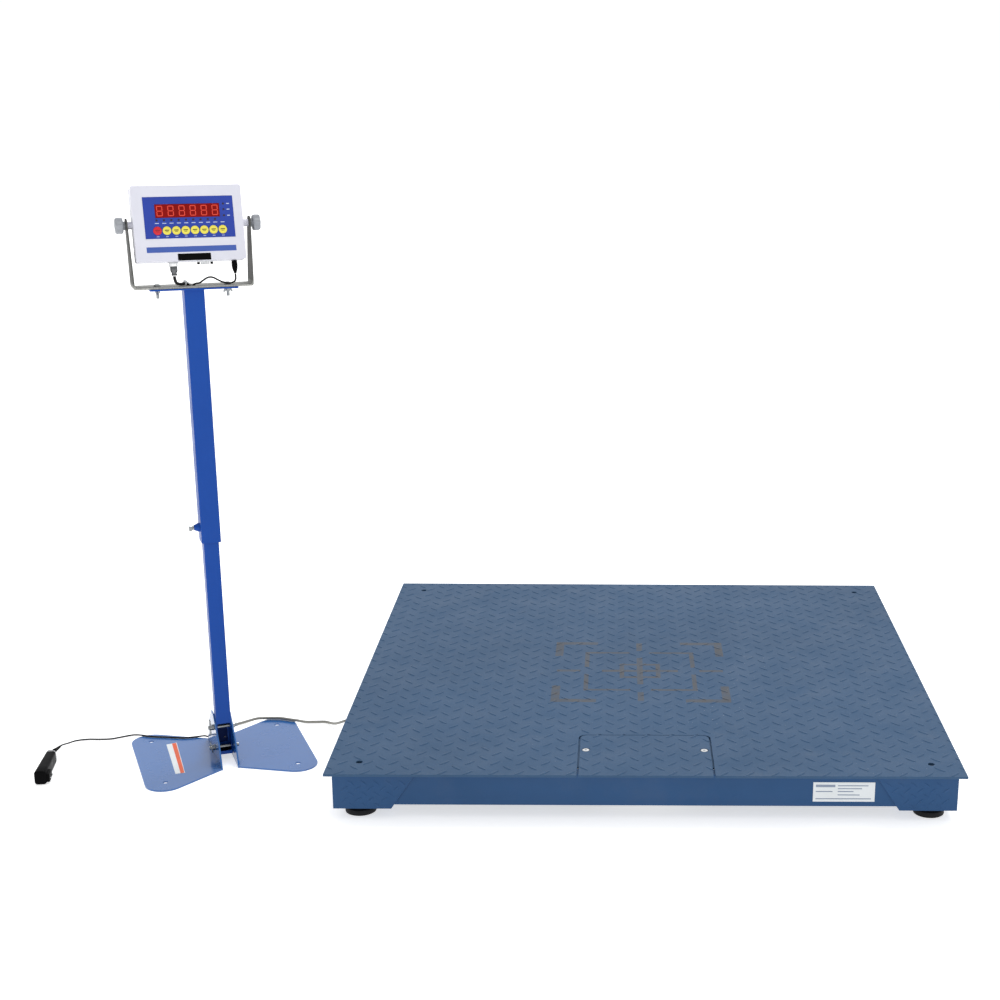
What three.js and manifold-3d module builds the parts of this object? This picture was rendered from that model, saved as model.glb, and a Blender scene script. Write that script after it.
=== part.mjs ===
// Platform shipping scale: a tread-plate weighing platform on four load cells and levelling feet, and a
// digital indicator in a U-bracket on a telescoping stand beside it. Millimetres, +Z up. The platform's
// sides run along X and Y, and its front, with the access cover, faces -Y.
import * as THREE from 'three';
import { ConvexGeometry } from 'three/addons/geometries/ConvexGeometry.js';
import { mergeVertices } from 'three/addons/utils/BufferGeometryUtils.js';
import Module from 'manifold-3d';

const wasm = await Module();
wasm.setup();

// ---------------------------------------------------------------- driving dimensions
const GAP = 0.3;                      // between meshes that touch

const deck = { size: 1219.2, top: 100, thick: 4.8, holeInset: 60, holeRadius: 6.5 };
deck.under = deck.top - deck.thick;
deck.half = deck.size / 2;

const cover = { width: 258, depth: 199.4, gap: 1.2, corner: 14, screwX: 116, screwFromFront: 124.1 };
cover.back = -deck.half + cover.depth;
cover.screwY = -deck.half + cover.screwFromFront;

const frame = { inset: 18, bottom: 30, depth: 25, wall: 4 };
frame.top = deck.under - GAP;
frame.height = frame.top - frame.bottom;
frame.face = deck.half - frame.inset;            // outer face of the channel webs
frame.inner = frame.face - frame.depth;          // where the channel flanges end

const pod = { face: frame.face + 4, bottom: 23, sheet: 4, reach: 110.6, slant: 48, hole: 20 };
pod.back = frame.face + GAP;

const foot = { inset: 59.8, padRadius: 30, padHeight: 18, studRadius: 8, studTop: 82, nut: [36, 44] };
foot.at = deck.half - foot.inset;

const cell = { low: 59, high: 91, half: 16, outer: 565, inner: 435, padLength: 40 };
const rib = { x: 200, width: 30, height: 50, wall: 3 };
const box = { width: 150, depth: 96, low: 42, high: 82, y: -500 };
const gland = { y: -190, z: 44, bore: 8.4, body: 8, flange: 11, nut: 9.6, tip: frame.face + 14.7 };

const stand = { x: -871, y: -294, yaw: THREE.MathUtils.degToRad(22) };
const plate = { thick: 3, outer: 173, corner: 40, middle: 18.5, fold: 88, slope: 0.63, holeRadius: 5.5 };
plate.flangeIn = 15.3;
plate.flangeOut = plate.flangeIn + plate.thick;
plate.cornerX = plate.outer - plate.corner;
plate.cornerY = plate.fold + plate.slope * (plate.outer - plate.flangeOut)
  - plate.corner / Math.tan((Math.PI / 2 - Math.atan(plate.slope)) / 2);
const flange = { knee: [66, 50], top: [12, 95] };   // half widths and heights where its sides bend and end

const post = { lower: 30, wall: 2, bottom: 12, lowerTop: 760, window: [19, 80], slotX: [-8.5, 9], slotZ: [30, 58] };
const mast = { size: 38, wall: 2.5, bottom: 467.5, top: 968.7 };
const lock = { z: 497, boss: 9, bore: 4.4, screw: 4, headIn: 33.5, headOut: 40, headRadius: 7 };
const baseBolts = [69, 24];

const mount = { half: [82.7, 28], low: 969, thick: 3, boltX: 66, boltHole: 3.5, cableHole: 10, cableX: -4 };
mount.high = mount.low + mount.thick;
const bracket = { half: 112, sheet: 3, deep: 25, topRadius: 13, hole: 4.5, splay: 3 };
bracket.reach = bracket.half + bracket.splay;      // outside of an arm at the tilt axis
bracket.low = mount.high + GAP;
bracket.high = bracket.low + bracket.sheet;
const tilt = { z: 1089.5, back: THREE.MathUtils.degToRad(11) };

const house = { x: -2.5, z: -0.5, halfX: 101, halfZ: 69.5, corner: 4, front: -28, split: 8, rear: 25, wall: 2.5 };
house.bottom = house.z - house.halfZ;
const overlay = { x: -1, z: 9.9, width: 165, height: 76.5, thick: 0.8, recess: 0.9 };
const lens = { x: -3.4, z: 22.2, width: 118.5, height: 24.6, front: -28, thick: 3 };
const keys = { count: 8, pitch: 17.13, x: -1.1, z: -14, radius: 7.8, hole: 8.2, front: -29, rear: -15 };
const board = { halfX: 88, halfZ: 52, front: -12, thick: 1.6, moduleFront: -23.5 };
const cellPlug = { x: -35, y: -2, end: -96 };
const dcPlug = { x: 79, y: -1, end: -95 };
const cable = { load: 2.9, lead: 1.7 };          // radii
const adapter = { x: -1205, y: -441, turn: THREE.MathUtils.degToRad(7), length: 119 };
adapter.near = { width: 24, height: 29, round: 10 };
adapter.far = { width: 19, height: 27.5, round: 8.5 };
adapter.relief = { base: [5.6, 115, 24.9], tip: [9.3, 156.2, 18] };

// ---------------------------------------------------------------- materials
const paint = (color, roughness = 0.45) => new THREE.MeshStandardMaterial({ color, roughness, metalness: 0.1 });
const metal = (color, roughness = 0.35) => new THREE.MeshStandardMaterial({ color, roughness, metalness: 0.9 });
const plastic = (color, roughness = 0.4) => new THREE.MeshStandardMaterial({ color, roughness, metalness: 0 });

const look = {
  deck: paint(0x4d6b8c, 0.6),
  frame: paint(0x2b4f78, 0.5),
  stand: paint(0x2850a5, 0.3),
  steel: metal(0xb4b4b0),
  zinc: metal(0xc8c8c4),
  cell: metal(0x9fa3a6),
  rubber: plastic(0x18181a, 0.8),
  housing: paint(0xe2e2ec, 0.4),
  overlay: plastic(0x3e50aa, 0.5),
  lens: plastic(0x8c140f, 0.2),
  redKey: plastic(0xdc1e32),
  yellowKey: plastic(0xf0e15a),
  knob: plastic(0xa0a3aa, 0.6),
  board: plastic(0x1f6b3a, 0.6),
  boxPlastic: plastic(0x8a8f94, 0.6),
  greyCable: plastic(0x96948c, 0.6),
  blackCable: plastic(0x1b1b1c, 0.5),
};

// ---------------------------------------------------------------- shape helpers
const AXES = {
  x: new THREE.Matrix4().makeBasis(vec(0, 1, 0), vec(0, 0, 1), vec(1, 0, 0)),
  y: new THREE.Matrix4().makeBasis(vec(0, 0, 1), vec(1, 0, 0), vec(0, 1, 0)),
  z: new THREE.Matrix4(),
};

function vec(x, y, z) {
  return new THREE.Vector3(x, y, z);
}

function ordered(a, b) {
  return [Math.min(a, b), Math.max(a, b)];
}

// A solid from ranges along X, Y and Z.
function span([x0, x1], [y0, y1], [z0, z1]) {
  const geometry = new THREE.BoxGeometry(Math.abs(x1 - x0), Math.abs(y1 - y0), Math.abs(z1 - z0));
  return geometry.translate((x0 + x1) / 2, (y0 + y1) / 2, (z0 + z1) / 2);
}

// A round bar along an axis, from one coordinate to another. [a, b] is its centre in the other two
// directions, in cyclic order: (y, z) along x, (z, x) along y, (x, y) along z.
function rod(radius, axis, from, to, [a, b], sides = 16) {
  const geometry = new THREE.CylinderGeometry(radius, radius, Math.abs(to - from), sides);
  geometry.rotateX(Math.PI / 2).translate(a, b, (from + to) / 2);
  return geometry.applyMatrix4(AXES[axis]);
}

// A turned solid: profile points are [radius, place along the axis], starting and ending on the axis.
function turned(profile, axis = 'z', [a, b] = [0, 0], sides = 20) {
  const points = profile.map(([r, h]) => new THREE.Vector2(r, h));
  const geometry = new THREE.LatheGeometry(points, sides);
  return geometry.rotateX(Math.PI / 2).translate(a, b, 0).applyMatrix4(AXES[axis]);
}

// A flat outline, extruded along an axis. Its points are in the other two directions, in cyclic order.
function slab(shape, axis, from, to, curveSegments = 8) {
  const geometry = new THREE.ExtrudeGeometry(shape, { depth: to - from, bevelEnabled: false, curveSegments });
  return geometry.translate(0, 0, from).applyMatrix4(AXES[axis]);
}

function outline(points) {
  const corners = points.map(([x, y]) => new THREE.Vector2(x, y));
  if (THREE.ShapeUtils.isClockWise(corners)) corners.reverse();
  return new THREE.Shape(corners);
}

function circle(radius, x, y) {
  return new THREE.Path().absarc(x, y, radius, 0, 2 * Math.PI, true);
}

function roundedRectangle(halfX, halfY, corner, x = 0, y = 0) {
  const shape = new THREE.Shape();
  shape.absarc(x + halfX - corner, y + halfY - corner, corner, 0, Math.PI / 2);
  shape.absarc(x - halfX + corner, y + halfY - corner, corner, Math.PI / 2, Math.PI);
  shape.absarc(x - halfX + corner, y - halfY + corner, corner, Math.PI, 1.5 * Math.PI);
  shape.absarc(x + halfX - corner, y - halfY + corner, corner, 1.5 * Math.PI, 2 * Math.PI);
  return shape;
}

// ---------------------------------------------------------------- joining and cutting
function toSolid(geometry) {
  const plain = geometry.clone();
  plain.deleteAttribute('normal');
  plain.deleteAttribute('uv');
  const merged = mergeVertices(plain, 1e-4);
  const index = merged.index.array;
  const triangles = [];
  for (let i = 0; i < index.length; i += 3) {
    const [a, b, c] = [index[i], index[i + 1], index[i + 2]];
    if (a !== b && b !== c && c !== a) triangles.push(a, b, c);
  }
  const vertProperties = new Float32Array(merged.attributes.position.array);
  return new wasm.Manifold(new wasm.Mesh({ numProp: 3, vertProperties, triVerts: new Uint32Array(triangles) }));
}

function toGeometry(solid) {
  const mesh = solid.getMesh();
  const geometry = new THREE.BufferGeometry();
  geometry.setAttribute('position', new THREE.BufferAttribute(new Float32Array(mesh.vertProperties), 3));
  geometry.setIndex(new THREE.BufferAttribute(new Uint32Array(mesh.triVerts), 1));
  const flat = geometry.toNonIndexed();
  flat.computeVertexNormals();
  return flat;
}

// Joins the first list of geometries into one solid and cuts the second list from it.
function made(joined, cuts = []) {
  let solid = toSolid(joined[0]);
  for (const geometry of joined.slice(1)) solid = solid.add(toSolid(geometry));
  for (const geometry of cuts) solid = solid.subtract(toSolid(geometry));
  return toGeometry(solid);
}

function part(parent, name, geometry, material) {
  const mesh = new THREE.Mesh(geometry, material);
  mesh.name = name;
  parent.add(mesh);
}

// ---------------------------------------------------------------- platform
const CORNERS = [['front_left', -1, -1], ['front_right', 1, -1], ['rear_left', -1, 1], ['rear_right', 1, 1]];

function deckPlate() {
  const h = deck.half;
  const w = cover.width / 2 + cover.gap;
  const y = cover.back + cover.gap;
  const r = cover.corner + cover.gap;
  const shape = new THREE.Shape();
  shape.moveTo(-h, -h);
  shape.lineTo(-w, -h);
  shape.absarc(-w + r, y - r, r, Math.PI, Math.PI / 2, true);
  shape.absarc(w - r, y - r, r, Math.PI / 2, 0, true);
  shape.lineTo(w, -h);
  shape.lineTo(h, -h);
  shape.lineTo(h, h);
  shape.lineTo(-h, h);
  const at = h - deck.holeInset;
  for (const [, sx, sy] of CORNERS) shape.holes.push(circle(deck.holeRadius, sx * at, sy * at));
  return made([slab(shape, 'z', deck.under, deck.top), coverLedge()]);
}

// The strip welded under the deck's opening, which carries the cover on three sides.
function coverLedge() {
  const [outerX, innerX] = [cover.width / 2 + 23, cover.width / 2 - 25];
  const [front, back, innerBack] = [-frame.inner + 6, cover.back + 18, cover.back - 20];
  const shape = outline([[-outerX, front], [-innerX, front], [-innerX, innerBack], [innerX, innerBack],
    [innerX, front], [outerX, front], [outerX, back], [-outerX, back]]);
  for (const side of [-1, 1]) shape.holes.push(circle(3.2, side * cover.screwX, cover.screwY));
  return slab(shape, 'z', deck.under - 3.2, deck.under + 0.1);
}

function junctionCover() {
  const w = cover.width / 2;
  const r = cover.corner;
  const shape = new THREE.Shape();
  shape.moveTo(-w, -deck.half);
  shape.lineTo(w, -deck.half);
  shape.absarc(w - r, cover.back - r, r, 0, Math.PI / 2);
  shape.absarc(-w + r, cover.back - r, r, Math.PI / 2, Math.PI);
  const low = deck.under + 0.4;
  const sinks = [-1, 1].map((side) => turned(
    [[0, low - 1], [3.2, low - 1], [3.2, deck.top - 2.8], [6.4, deck.top + 0.1], [0, deck.top + 0.1]],
    'z', [side * cover.screwX, cover.screwY]));
  return made([slab(shape, 'z', low, deck.top)], sinks);
}

function coverScrew(side) {
  const profile = [[0, 84], [2.7, 84], [2.7, deck.top - 2.9], [5.6, deck.top - 0.2], [0, deck.top - 0.2]];
  return turned(profile, 'z', [side * cover.screwX, cover.screwY]);
}

// A channel along X with its web at Y = 0 and its flanges towards +Y.
function channel(length) {
  const { depth, height, wall } = frame;
  const profile = outline([[0, 0], [depth, 0], [depth, wall], [wall, wall], [wall, height - wall],
    [depth, height - wall], [depth, height], [0, height]]);
  return slab(profile, 'x', -length / 2, length / 2).translate(0, 0, frame.bottom);
}

function frontRearBeam(side) {
  const turn = side < 0 ? 0 : Math.PI;
  return channel(2 * frame.face).translate(0, -frame.face, 0).rotateZ(turn);
}

function sideBeam(side) {
  const beam = channel(2 * (frame.inner - GAP)).translate(0, -frame.face, 0).rotateZ(side * Math.PI / 2);
  if (side > 0) return beam;
  return made([beam], [rod(gland.bore, 'x', -frame.face - 1, -frame.face + 6, [gland.y, gland.z])]);
}

function innerRib(side) {
  const { width, height, wall } = rib;
  const z = frame.top - height / 2;
  const shape = outline([[-height / 2, -width / 2], [height / 2, -width / 2], [height / 2, width / 2],
    [-height / 2, width / 2]]);
  shape.holes.push(outline([[-height / 2 + wall, -width / 2 + wall], [-height / 2 + wall, width / 2 - wall],
    [height / 2 - wall, width / 2 - wall], [height / 2 - wall, -width / 2 + wall]]));
  const length = frame.inner - GAP;
  return slab(shape, 'y', -length, length).translate(side * rib.x, 0, z);
}

// A folded corner: two walls over the beams and a floor that the foot passes through.
function cornerPod(sx, sy) {
  const inner = pod.face - pod.reach;
  const wall = (s, order) => outline([[s * pod.face, frame.top], [s * (inner - pod.slant), frame.top],
    [s * inner, pod.bottom], [s * pod.face, pod.bottom]].map(([a, z]) => order(a, z)));
  const walls = [
    slab(wall(sx, (x, z) => [z, x]), 'y', ...ordered(sy * pod.face, sy * pod.back)),
    slab(wall(sy, (y, z) => [y, z]), 'x', ...ordered(sx * pod.face, sx * pod.back)),
  ];
  const cut = inner + 35;
  const floor = outline([[pod.face, pod.face], [inner, pod.face], [inner, cut], [cut, inner], [pod.face, inner]]
    .map(([x, y]) => [sx * x, sy * y]));
  floor.holes.push(circle(pod.hole, sx * foot.at, sy * foot.at));
  return made([...walls, slab(floor, 'z', pod.bottom, pod.bottom + pod.sheet)]);
}

// A shear-beam load cell along X: bolted under the deck at its inner end, carried by the foot at its outer end.
function loadCell(sx, sy) {
  const y = [sy * foot.at - cell.half, sy * foot.at + cell.half];
  const body = span([sx * cell.outer, sx * cell.inner], y, [cell.low, cell.high]);
  const pad = span([sx * (cell.inner + cell.padLength), sx * cell.inner], y, [cell.high - 1, frame.top]);
  const window = (x) => rod(10, 'y', y[0] - 1, y[1] + 1, [(cell.low + cell.high) / 2, sx * x]);
  const stud = rod(foot.studRadius + 0.5, 'z', cell.low - 1, cell.high + 1, [sx * foot.at, sy * foot.at]);
  return made([body, pad], [window(512), window(498), stud]);
}

function levellingFoot(sx, sy) {
  const { padRadius, padHeight, studRadius, studTop, nut } = foot;
  const profile = [[0, 0], [padRadius - 1.5, 0], [padRadius, 1.5], [padRadius, 11], [padRadius - 7, padHeight],
    [studRadius, padHeight], [studRadius, nut[0]], [13, nut[0]], [13, nut[1]], [studRadius, nut[1]],
    [studRadius, studTop - 1], [studRadius - 1, studTop], [0, studTop]];
  return turned(profile, 'z', [sx * foot.at, sy * foot.at], 24);
}

function junctionBox() {
  const half = box.width / 2;
  const body = span([-half, half], [box.y - box.depth / 2, box.y + box.depth / 2], [box.low, box.high]);
  const ears = [-1, 1].map((side) => span([side * (half - 5), side * (half + 50)], [-555, -528], [80, 91.5]));
  return made([body, ...ears]);
}

function cableGland() {
  const { y, z, body, flange: lip, nut, tip } = gland;
  const web = frame.face;
  const profile = [[0, web - 16], [nut, web - 16], [nut, web - frame.wall - GAP], [body, web - frame.wall - GAP],
    [body, web + GAP], [lip, web + GAP], [lip, web + 6], [body, web + 6.5], [5, tip], [0, tip]];
  return turned(profile.map(([r, h]) => [r, -h]).reverse(), 'x', [y, z]);
}

// The load cells' cables and the cable from the gland, which meet in a grommet under the junction box.
function cellHarness() {
  const hub = span([-18, 18], [box.y - 14, box.y + 14], [box.low - 9, box.low - GAP]);
  const runs = [];
  for (const side of [-1, 1]) {
    const x = (v) => side * v;
    const start = (y) => [[x(cell.inner - 0.6), y, 76], [x(cell.inner - 6), y, 75.8]];
    runs.push([...start(-foot.at), [x(420), -549, 66], [x(411), -545, 51], [x(395), -538, 41], [x(360), -530, 38],
      [x(230), -512, 38], [x(100), -500, 37], [x(14), box.y, 37.5]]);
    runs.push([...start(foot.at), [x(420), 549, 66], [x(411), 543, 51], [x(405), 520, 41], [x(400), 470, 38],
      [x(398), 0, 38], [x(396), -440, 38], [x(388), -500, 38], [x(355), -522, 38], [x(300), -520, 38]]);
  }
  const inside = -frame.face + 16 + GAP;
  runs.push([[inside, gland.y, gland.z], [inside + 14, gland.y, gland.z], [inside + 45, gland.y - 8, 40],
    [-480, gland.y - 16, 38], [-420, gland.y - 40, 38], [-402, gland.y - 90, 38], [-397.5, gland.y - 160, 38]]);
  return made([hub, ...runs.map((run) => tube(run, 2.6, 20))]);
}

// ---------------------------------------------------------------- stand
// One foot plate with its upright flange. side is -1 for the left one and 1 for the right one.
function footPlate(side) {
  const { flangeIn, flangeOut, outer, corner, cornerX, cornerY, middle, fold, thick, holeRadius } = plate;
  const turnBy = Math.PI / 2 + Math.atan(plate.slope);
  const shape = new THREE.Shape();
  shape.moveTo(flangeIn, middle + fold);
  shape.lineTo(flangeIn, middle - fold);
  shape.lineTo(flangeOut, middle - fold);
  shape.absarc(cornerX, middle - cornerY, corner, -turnBy, 0);
  shape.absarc(cornerX, middle + cornerY, corner, 0, turnBy);
  shape.lineTo(flangeOut, middle + fold);
  for (const s of [-1, 1]) shape.holes.push(circle(holeRadius, cornerX, middle + s * cornerY));
  const flat = slab(shape, 'z', 0, thick);
  const profile = [[fold, 0], flange.knee, flange.top];
  const upright = slab(outline([...profile.map(([y, z]) => [middle + y, z]),
    ...profile.map(([y, z]) => [middle - y, z]).reverse()]), 'x', flangeIn, flangeOut);
  const bolts = baseBolts.map((z) => rod(4.2, 'x', flangeIn - 1, flangeOut + 1, [0, z]));
  const right = made([flat, upright], bolts);
  if (side > 0) return right;
  return mirrored(right);
}

// The same solid on the other side of X = 0, still facing out.
function mirrored(geometry) {
  const flipped = geometry.clone().scale(-1, 1, 1);
  const position = flipped.attributes.position;
  for (let i = 0; i < position.count; i += 3) {
    const [a, b] = [i + 1, i + 2].map((k) => new THREE.Vector3().fromBufferAttribute(position, k));
    position.setXYZ(i + 1, b.x, b.y, b.z);
    position.setXYZ(i + 2, a.x, a.y, a.z);
  }
  flipped.computeVertexNormals();
  return flipped;
}

function squareTube(size, wall, low, high) {
  const half = size / 2;
  const shape = roundedRectangle(half, half, 2.5);
  shape.holes.push(new THREE.Path(roundedRectangle(half - wall, half - wall, 1).getPoints(3)));
  return slab(shape, 'z', low, high, 3);
}

function lowerTube() {
  const half = post.lower / 2;
  const bore = half - post.wall;
  const frontCut = span([-bore, bore], [-half - 1, 0], post.window);
  const rearCut = span(post.slotX, [0, half + 1], post.slotZ);
  const bolts = baseBolts.map((z) => rod(4.2, 'x', -half - 1, half + 1, [0, z]));
  return made([squareTube(post.lower, post.wall, post.bottom, post.lowerTop)], [frontCut, rearCut, ...bolts]);
}

// A cross bolt through both flanges and the tube, with a wing nut on its left end.
function baseBolt(z, upright) {
  const out = plate.flangeOut + GAP;
  const shaft = rod(3.7, 'x', -out - 12, out + 11, [0, z]);
  const head = rod(7, 'x', out, out + 5, [0, z], 6);
  const hub = rod(6, 'x', -out - 8, -out, [0, z]);
  const wing = [[4, -4], [15, -5], [16, 5], [4, 4]];
  const wings = [-1, 1].map((s) => slab(outline(wing.map(([a, b]) => (upright ? [b, z + s * a] : [s * a, z + b]))),
    'x', -out - 9, -out - 6));
  return made([shaft, head, hub, ...wings]);
}

function upperTube() {
  const half = mast.size / 2;
  const boss = turned([[0, -half - 11], [5.4, -half - 11], [5.8, -half - 9.5], [lock.boss, -half - 2.5],
    [lock.boss, -half + 1], [0, -half + 1]], 'x', [0, lock.z]);
  const bore = rod(lock.bore, 'x', -half - 13, -half + 5, [0, lock.z]);
  return made([squareTube(mast.size, mast.wall, mast.bottom, mast.top), boss], [bore]);
}

function lockScrew() {
  const shaft = rod(lock.screw, 'x', -lock.headIn - 1, -post.lower / 2 - GAP, [0, lock.z]);
  return made([shaft, rod(lock.headRadius, 'x', -lock.headOut, -lock.headIn, [0, lock.z], 6)]);
}

function mountPlate() {
  const shape = roundedRectangle(...mount.half, 4);
  shape.holes.push(circle(mount.cableHole, mount.cableX, 0));
  for (const s of [-1, 1]) shape.holes.push(circle(mount.boltHole, s * mount.boltX, 0));
  return slab(shape, 'z', mount.low, mount.high);
}

function uBracket() {
  const { half, sheet, deep, topRadius, low, high, hole } = bracket;
  const base = roundedRectangle(half, deep, 1.5);
  base.holes.push(circle(mount.cableHole, mount.cableX, 0));
  for (const s of [-1, 1]) base.holes.push(circle(mount.boltHole, s * mount.boltX, 0));
  const arm = new THREE.Shape();
  arm.moveTo(-deep, low);
  arm.lineTo(deep, low);
  arm.lineTo(deep, low + 12);
  arm.absarc(0, tilt.z, topRadius, 0.1, Math.PI - 0.1);
  arm.lineTo(-deep, low + 12);
  arm.holes.push(circle(hole, 0, tilt.z));
  const arms = [-1, 1].map((s) => {
    const lean = s * bracket.splay / (tilt.z - low);
    return slab(arm, 'x', ...ordered(s * half, s * (half - sheet)))
      .applyMatrix4(new THREE.Matrix4().set(1, 0, lean, -lean * low, 0, 1, 0, 0, 0, 0, 1, 0, 0, 0, 0, 1));
  });
  return made([slab(base, 'z', low, high), ...arms]);
}

function bracketBolt(side) {
  const profile = [[0, 952], [2.6, 952], [3, 952.5], [3, bracket.high + GAP], [7, bracket.high + GAP],
    [6.4, bracket.high + 2.6], [3.5, bracket.high + 4], [0, bracket.high + 4.2]];
  return turned(profile, 'z', [side * mount.boltX, 0]);
}

function wingNut(side) {
  const top = mount.low - GAP;
  const x = side * mount.boltX;
  const hub = turned([[0, top - 8], [4.8, top - 8], [6.4, top], [0, top]], 'z', [x, 0]);
  const wings = [-1, 1].map((s) => slab(outline([[top - 6, x + s * 3.5], [top - 11.5, x + s * 12],
    [top - 9, x + s * 15], [top - 2.5, x + s * 13], [top - 1, x + s * 4]]), 'y', -1.5, 1.5));
  return made([hub, ...wings], [rod(3.4, 'z', top - 20, top + 1, [x, 0])]);
}

// ---------------------------------------------------------------- indicator, about its tilt axis
function tiltKnob(side) {
  const arm = bracket.reach + GAP;
  const lobes = 6;
  const rim = Array.from({ length: 48 }, (_, i) => {
    const angle = i * 2 * Math.PI / 48;
    const radius = 14.7 + 1.1 * Math.cos(lobes * angle);
    return [radius * Math.cos(angle), radius * Math.sin(angle)];
  });
  const grip = slab(outline(rim), 'x', ...ordered(side * (arm + 4.2), side * (arm + 19)));
  const neck = rod(8, 'x', side * arm, side * (arm + 6), [0, 0]);
  const stud = rod(3.4, 'x', side * 88, side * (arm + 2), [0, 0]);
  return made([grip, neck, stud]);
}

function keyPlaces() {
  return Array.from({ length: keys.count }, (_, i) => keys.x + (i - (keys.count - 1) / 2) * keys.pitch);
}

// An opening or a block across the housing's front: a range of Y and a rectangle in X and Z.
function frontRectangle(spec, grow, y0, y1) {
  const [w, h] = [spec.width / 2 + grow, spec.height / 2 + grow];
  return span([spec.x - w, spec.x + w], [y0, y1], [spec.z - h, spec.z + h]);
}

function housingOutline(grow) {
  return roundedRectangle(house.halfZ + grow, house.halfX + grow, house.corner + grow, house.z, house.x);
}

function housingFront() {
  const { front, split, wall } = house;
  const shell = slab(housingOutline(0), 'y', front, split, 4);
  const bosses = [-1, 1].map((side) => rod(7, 'x', side * (house.halfX - 4), side * (bracket.reach - 3 - GAP), [0, 0]));
  const inside = slab(housingOutline(-wall), 'y', front + 3, split + 1, 4);
  const cuts = [
    inside,
    frontRectangle(overlay, GAP, front - 1, front + overlay.recess),
    frontRectangle(lens, GAP, front - 1, front + 5),
    ...keyPlaces().map((x) => rod(keys.hole, 'y', front - 1, front + 5, [keys.z, x])),
    rod(3.9, 'x', -120, 120, [0, 0]),
  ];
  return made([shell, ...bosses], cuts);
}

// The rear cover narrows towards its flat back.
function housingRear() {
  const { split, rear, wall } = house;
  const outer = narrowed(slab(housingOutline(0), 'y', split + GAP, rear, 4), rear, 0.9, 0.86);
  const inner = narrowed(slab(housingOutline(-wall), 'y', split - 1, rear - wall, 4), rear - wall, 0.9, 0.86);
  return made([outer], [inner]);
}

function narrowed(geometry, y, scaleX, scaleZ) {
  const position = geometry.attributes.position;
  for (let i = 0; i < position.count; i += 1) {
    if (Math.abs(position.getY(i) - y) > 0.01) continue;
    position.setX(i, house.x + (position.getX(i) - house.x) * scaleX);
    position.setZ(i, house.z + (position.getZ(i) - house.z) * scaleZ);
  }
  return geometry;
}

function keypadPanel() {
  const back = house.front + overlay.recess - GAP;
  const front = back - overlay.thick;
  const cuts = [frontRectangle(lens, GAP, front - 1, back + 1)];
  for (const x of keyPlaces()) cuts.push(rod(keys.hole, 'y', front - 1, back + 1, [keys.z, x]));
  return made([frontRectangle(overlay, 0, front, back)], cuts);
}

function keyCap(x) {
  const { front, rear, radius } = keys;
  const profile = [[0, rear], [radius, rear], [radius, front + 0.4], [radius - 0.6, front], [0, front - 0.3]];
  return turned(profile.reverse(), 'y', [keys.z, x]);
}

function mainBoard() {
  const { halfX, halfZ, front, thick, moduleFront } = board;
  const sheet = span([house.x - halfX, house.x + halfX], [front, front + thick], [house.z - halfZ, house.z + halfZ]);
  return made([sheet, frontRectangle(lens, -1, moduleFront, front + 0.5)]);
}

function loadCellPlug() {
  const { x, y, end } = cellPlug;
  const top = house.bottom - GAP;
  const profile = [[0, top], [8.7, top], [8.7, top - 5], [6.6, top - 6], [6.6, top - 15], [5, top - 17],
    [3.6, end], [0, end]];
  return turned(profile.reverse(), 'z', [x, y]);
}

function dcLeadPlug() {
  const { x, y, end } = dcPlug;
  const top = house.bottom - GAP;
  const profile = [[0, top], [4.4, top], [4.4, top - 11], [3.4, top - 13], [2.2, end], [0, end]];
  return turned(profile.reverse(), 'z', [x, y]);
}

// ---------------------------------------------------------------- cords
// A tube along a smooth curve through points.
function tube(points, radius, steps, sides = 8) {
  const path = new THREE.CatmullRomCurve3(points.map(([x, y, z]) => vec(x, y, z)), false, 'centripetal');
  const section = outline(Array.from({ length: sides }, (_, i) => {
    const angle = i * 2 * Math.PI / sides;
    return [radius * Math.cos(angle), radius * Math.sin(angle)];
  }));
  return new THREE.ExtrudeGeometry(section, { steps, extrudePath: path, bevelEnabled: false });
}

// A point of the stand's frame, in the platform's frame.
function fromStand([x, y, z]) {
  const [c, s] = [Math.cos(stand.yaw), Math.sin(stand.yaw)];
  return [stand.x + x * c - y * s, stand.y + x * s + y * c, z];
}

// Inside the post, out of its foot at the rear, over the right foot plate's far corner, along the floor and
// up to the gland in the left beam.
const loadCableLower = [
  ...[[4, 8.6, 115], [4, 8.6, 85], [4, 8.8, 60], [4.2, 13, 42], [4.6, 24, 27], [5, 38, 16], [5, 55, 7.5],
    [6, 75, 3.6], [9, 97, 3.2], [15, 120, 3.2], [28, 143, 3.2], [47, 162, 3.2], [66, 168.7, 3.4],
    [83, 172.5, 4.6], [98, 173, 6.4], [114, 168, 7], [131, 162, 7], [146, 155, 7], [158, 145, 7],
    [168, 136, 7], [178, 130.5, 6], [192, 123.5, 3.6], [213, 115.6, 3.2], [234, 108, 3.2]].map(fromStand),
  [-682, -117, 5], [-668, -138, 12], [-655, -158, 22], [-640, -178, 34], [-626, -188, 41.5], [-613, -190, 43.8],
  [-606.8, -190, 44],
];

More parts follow.
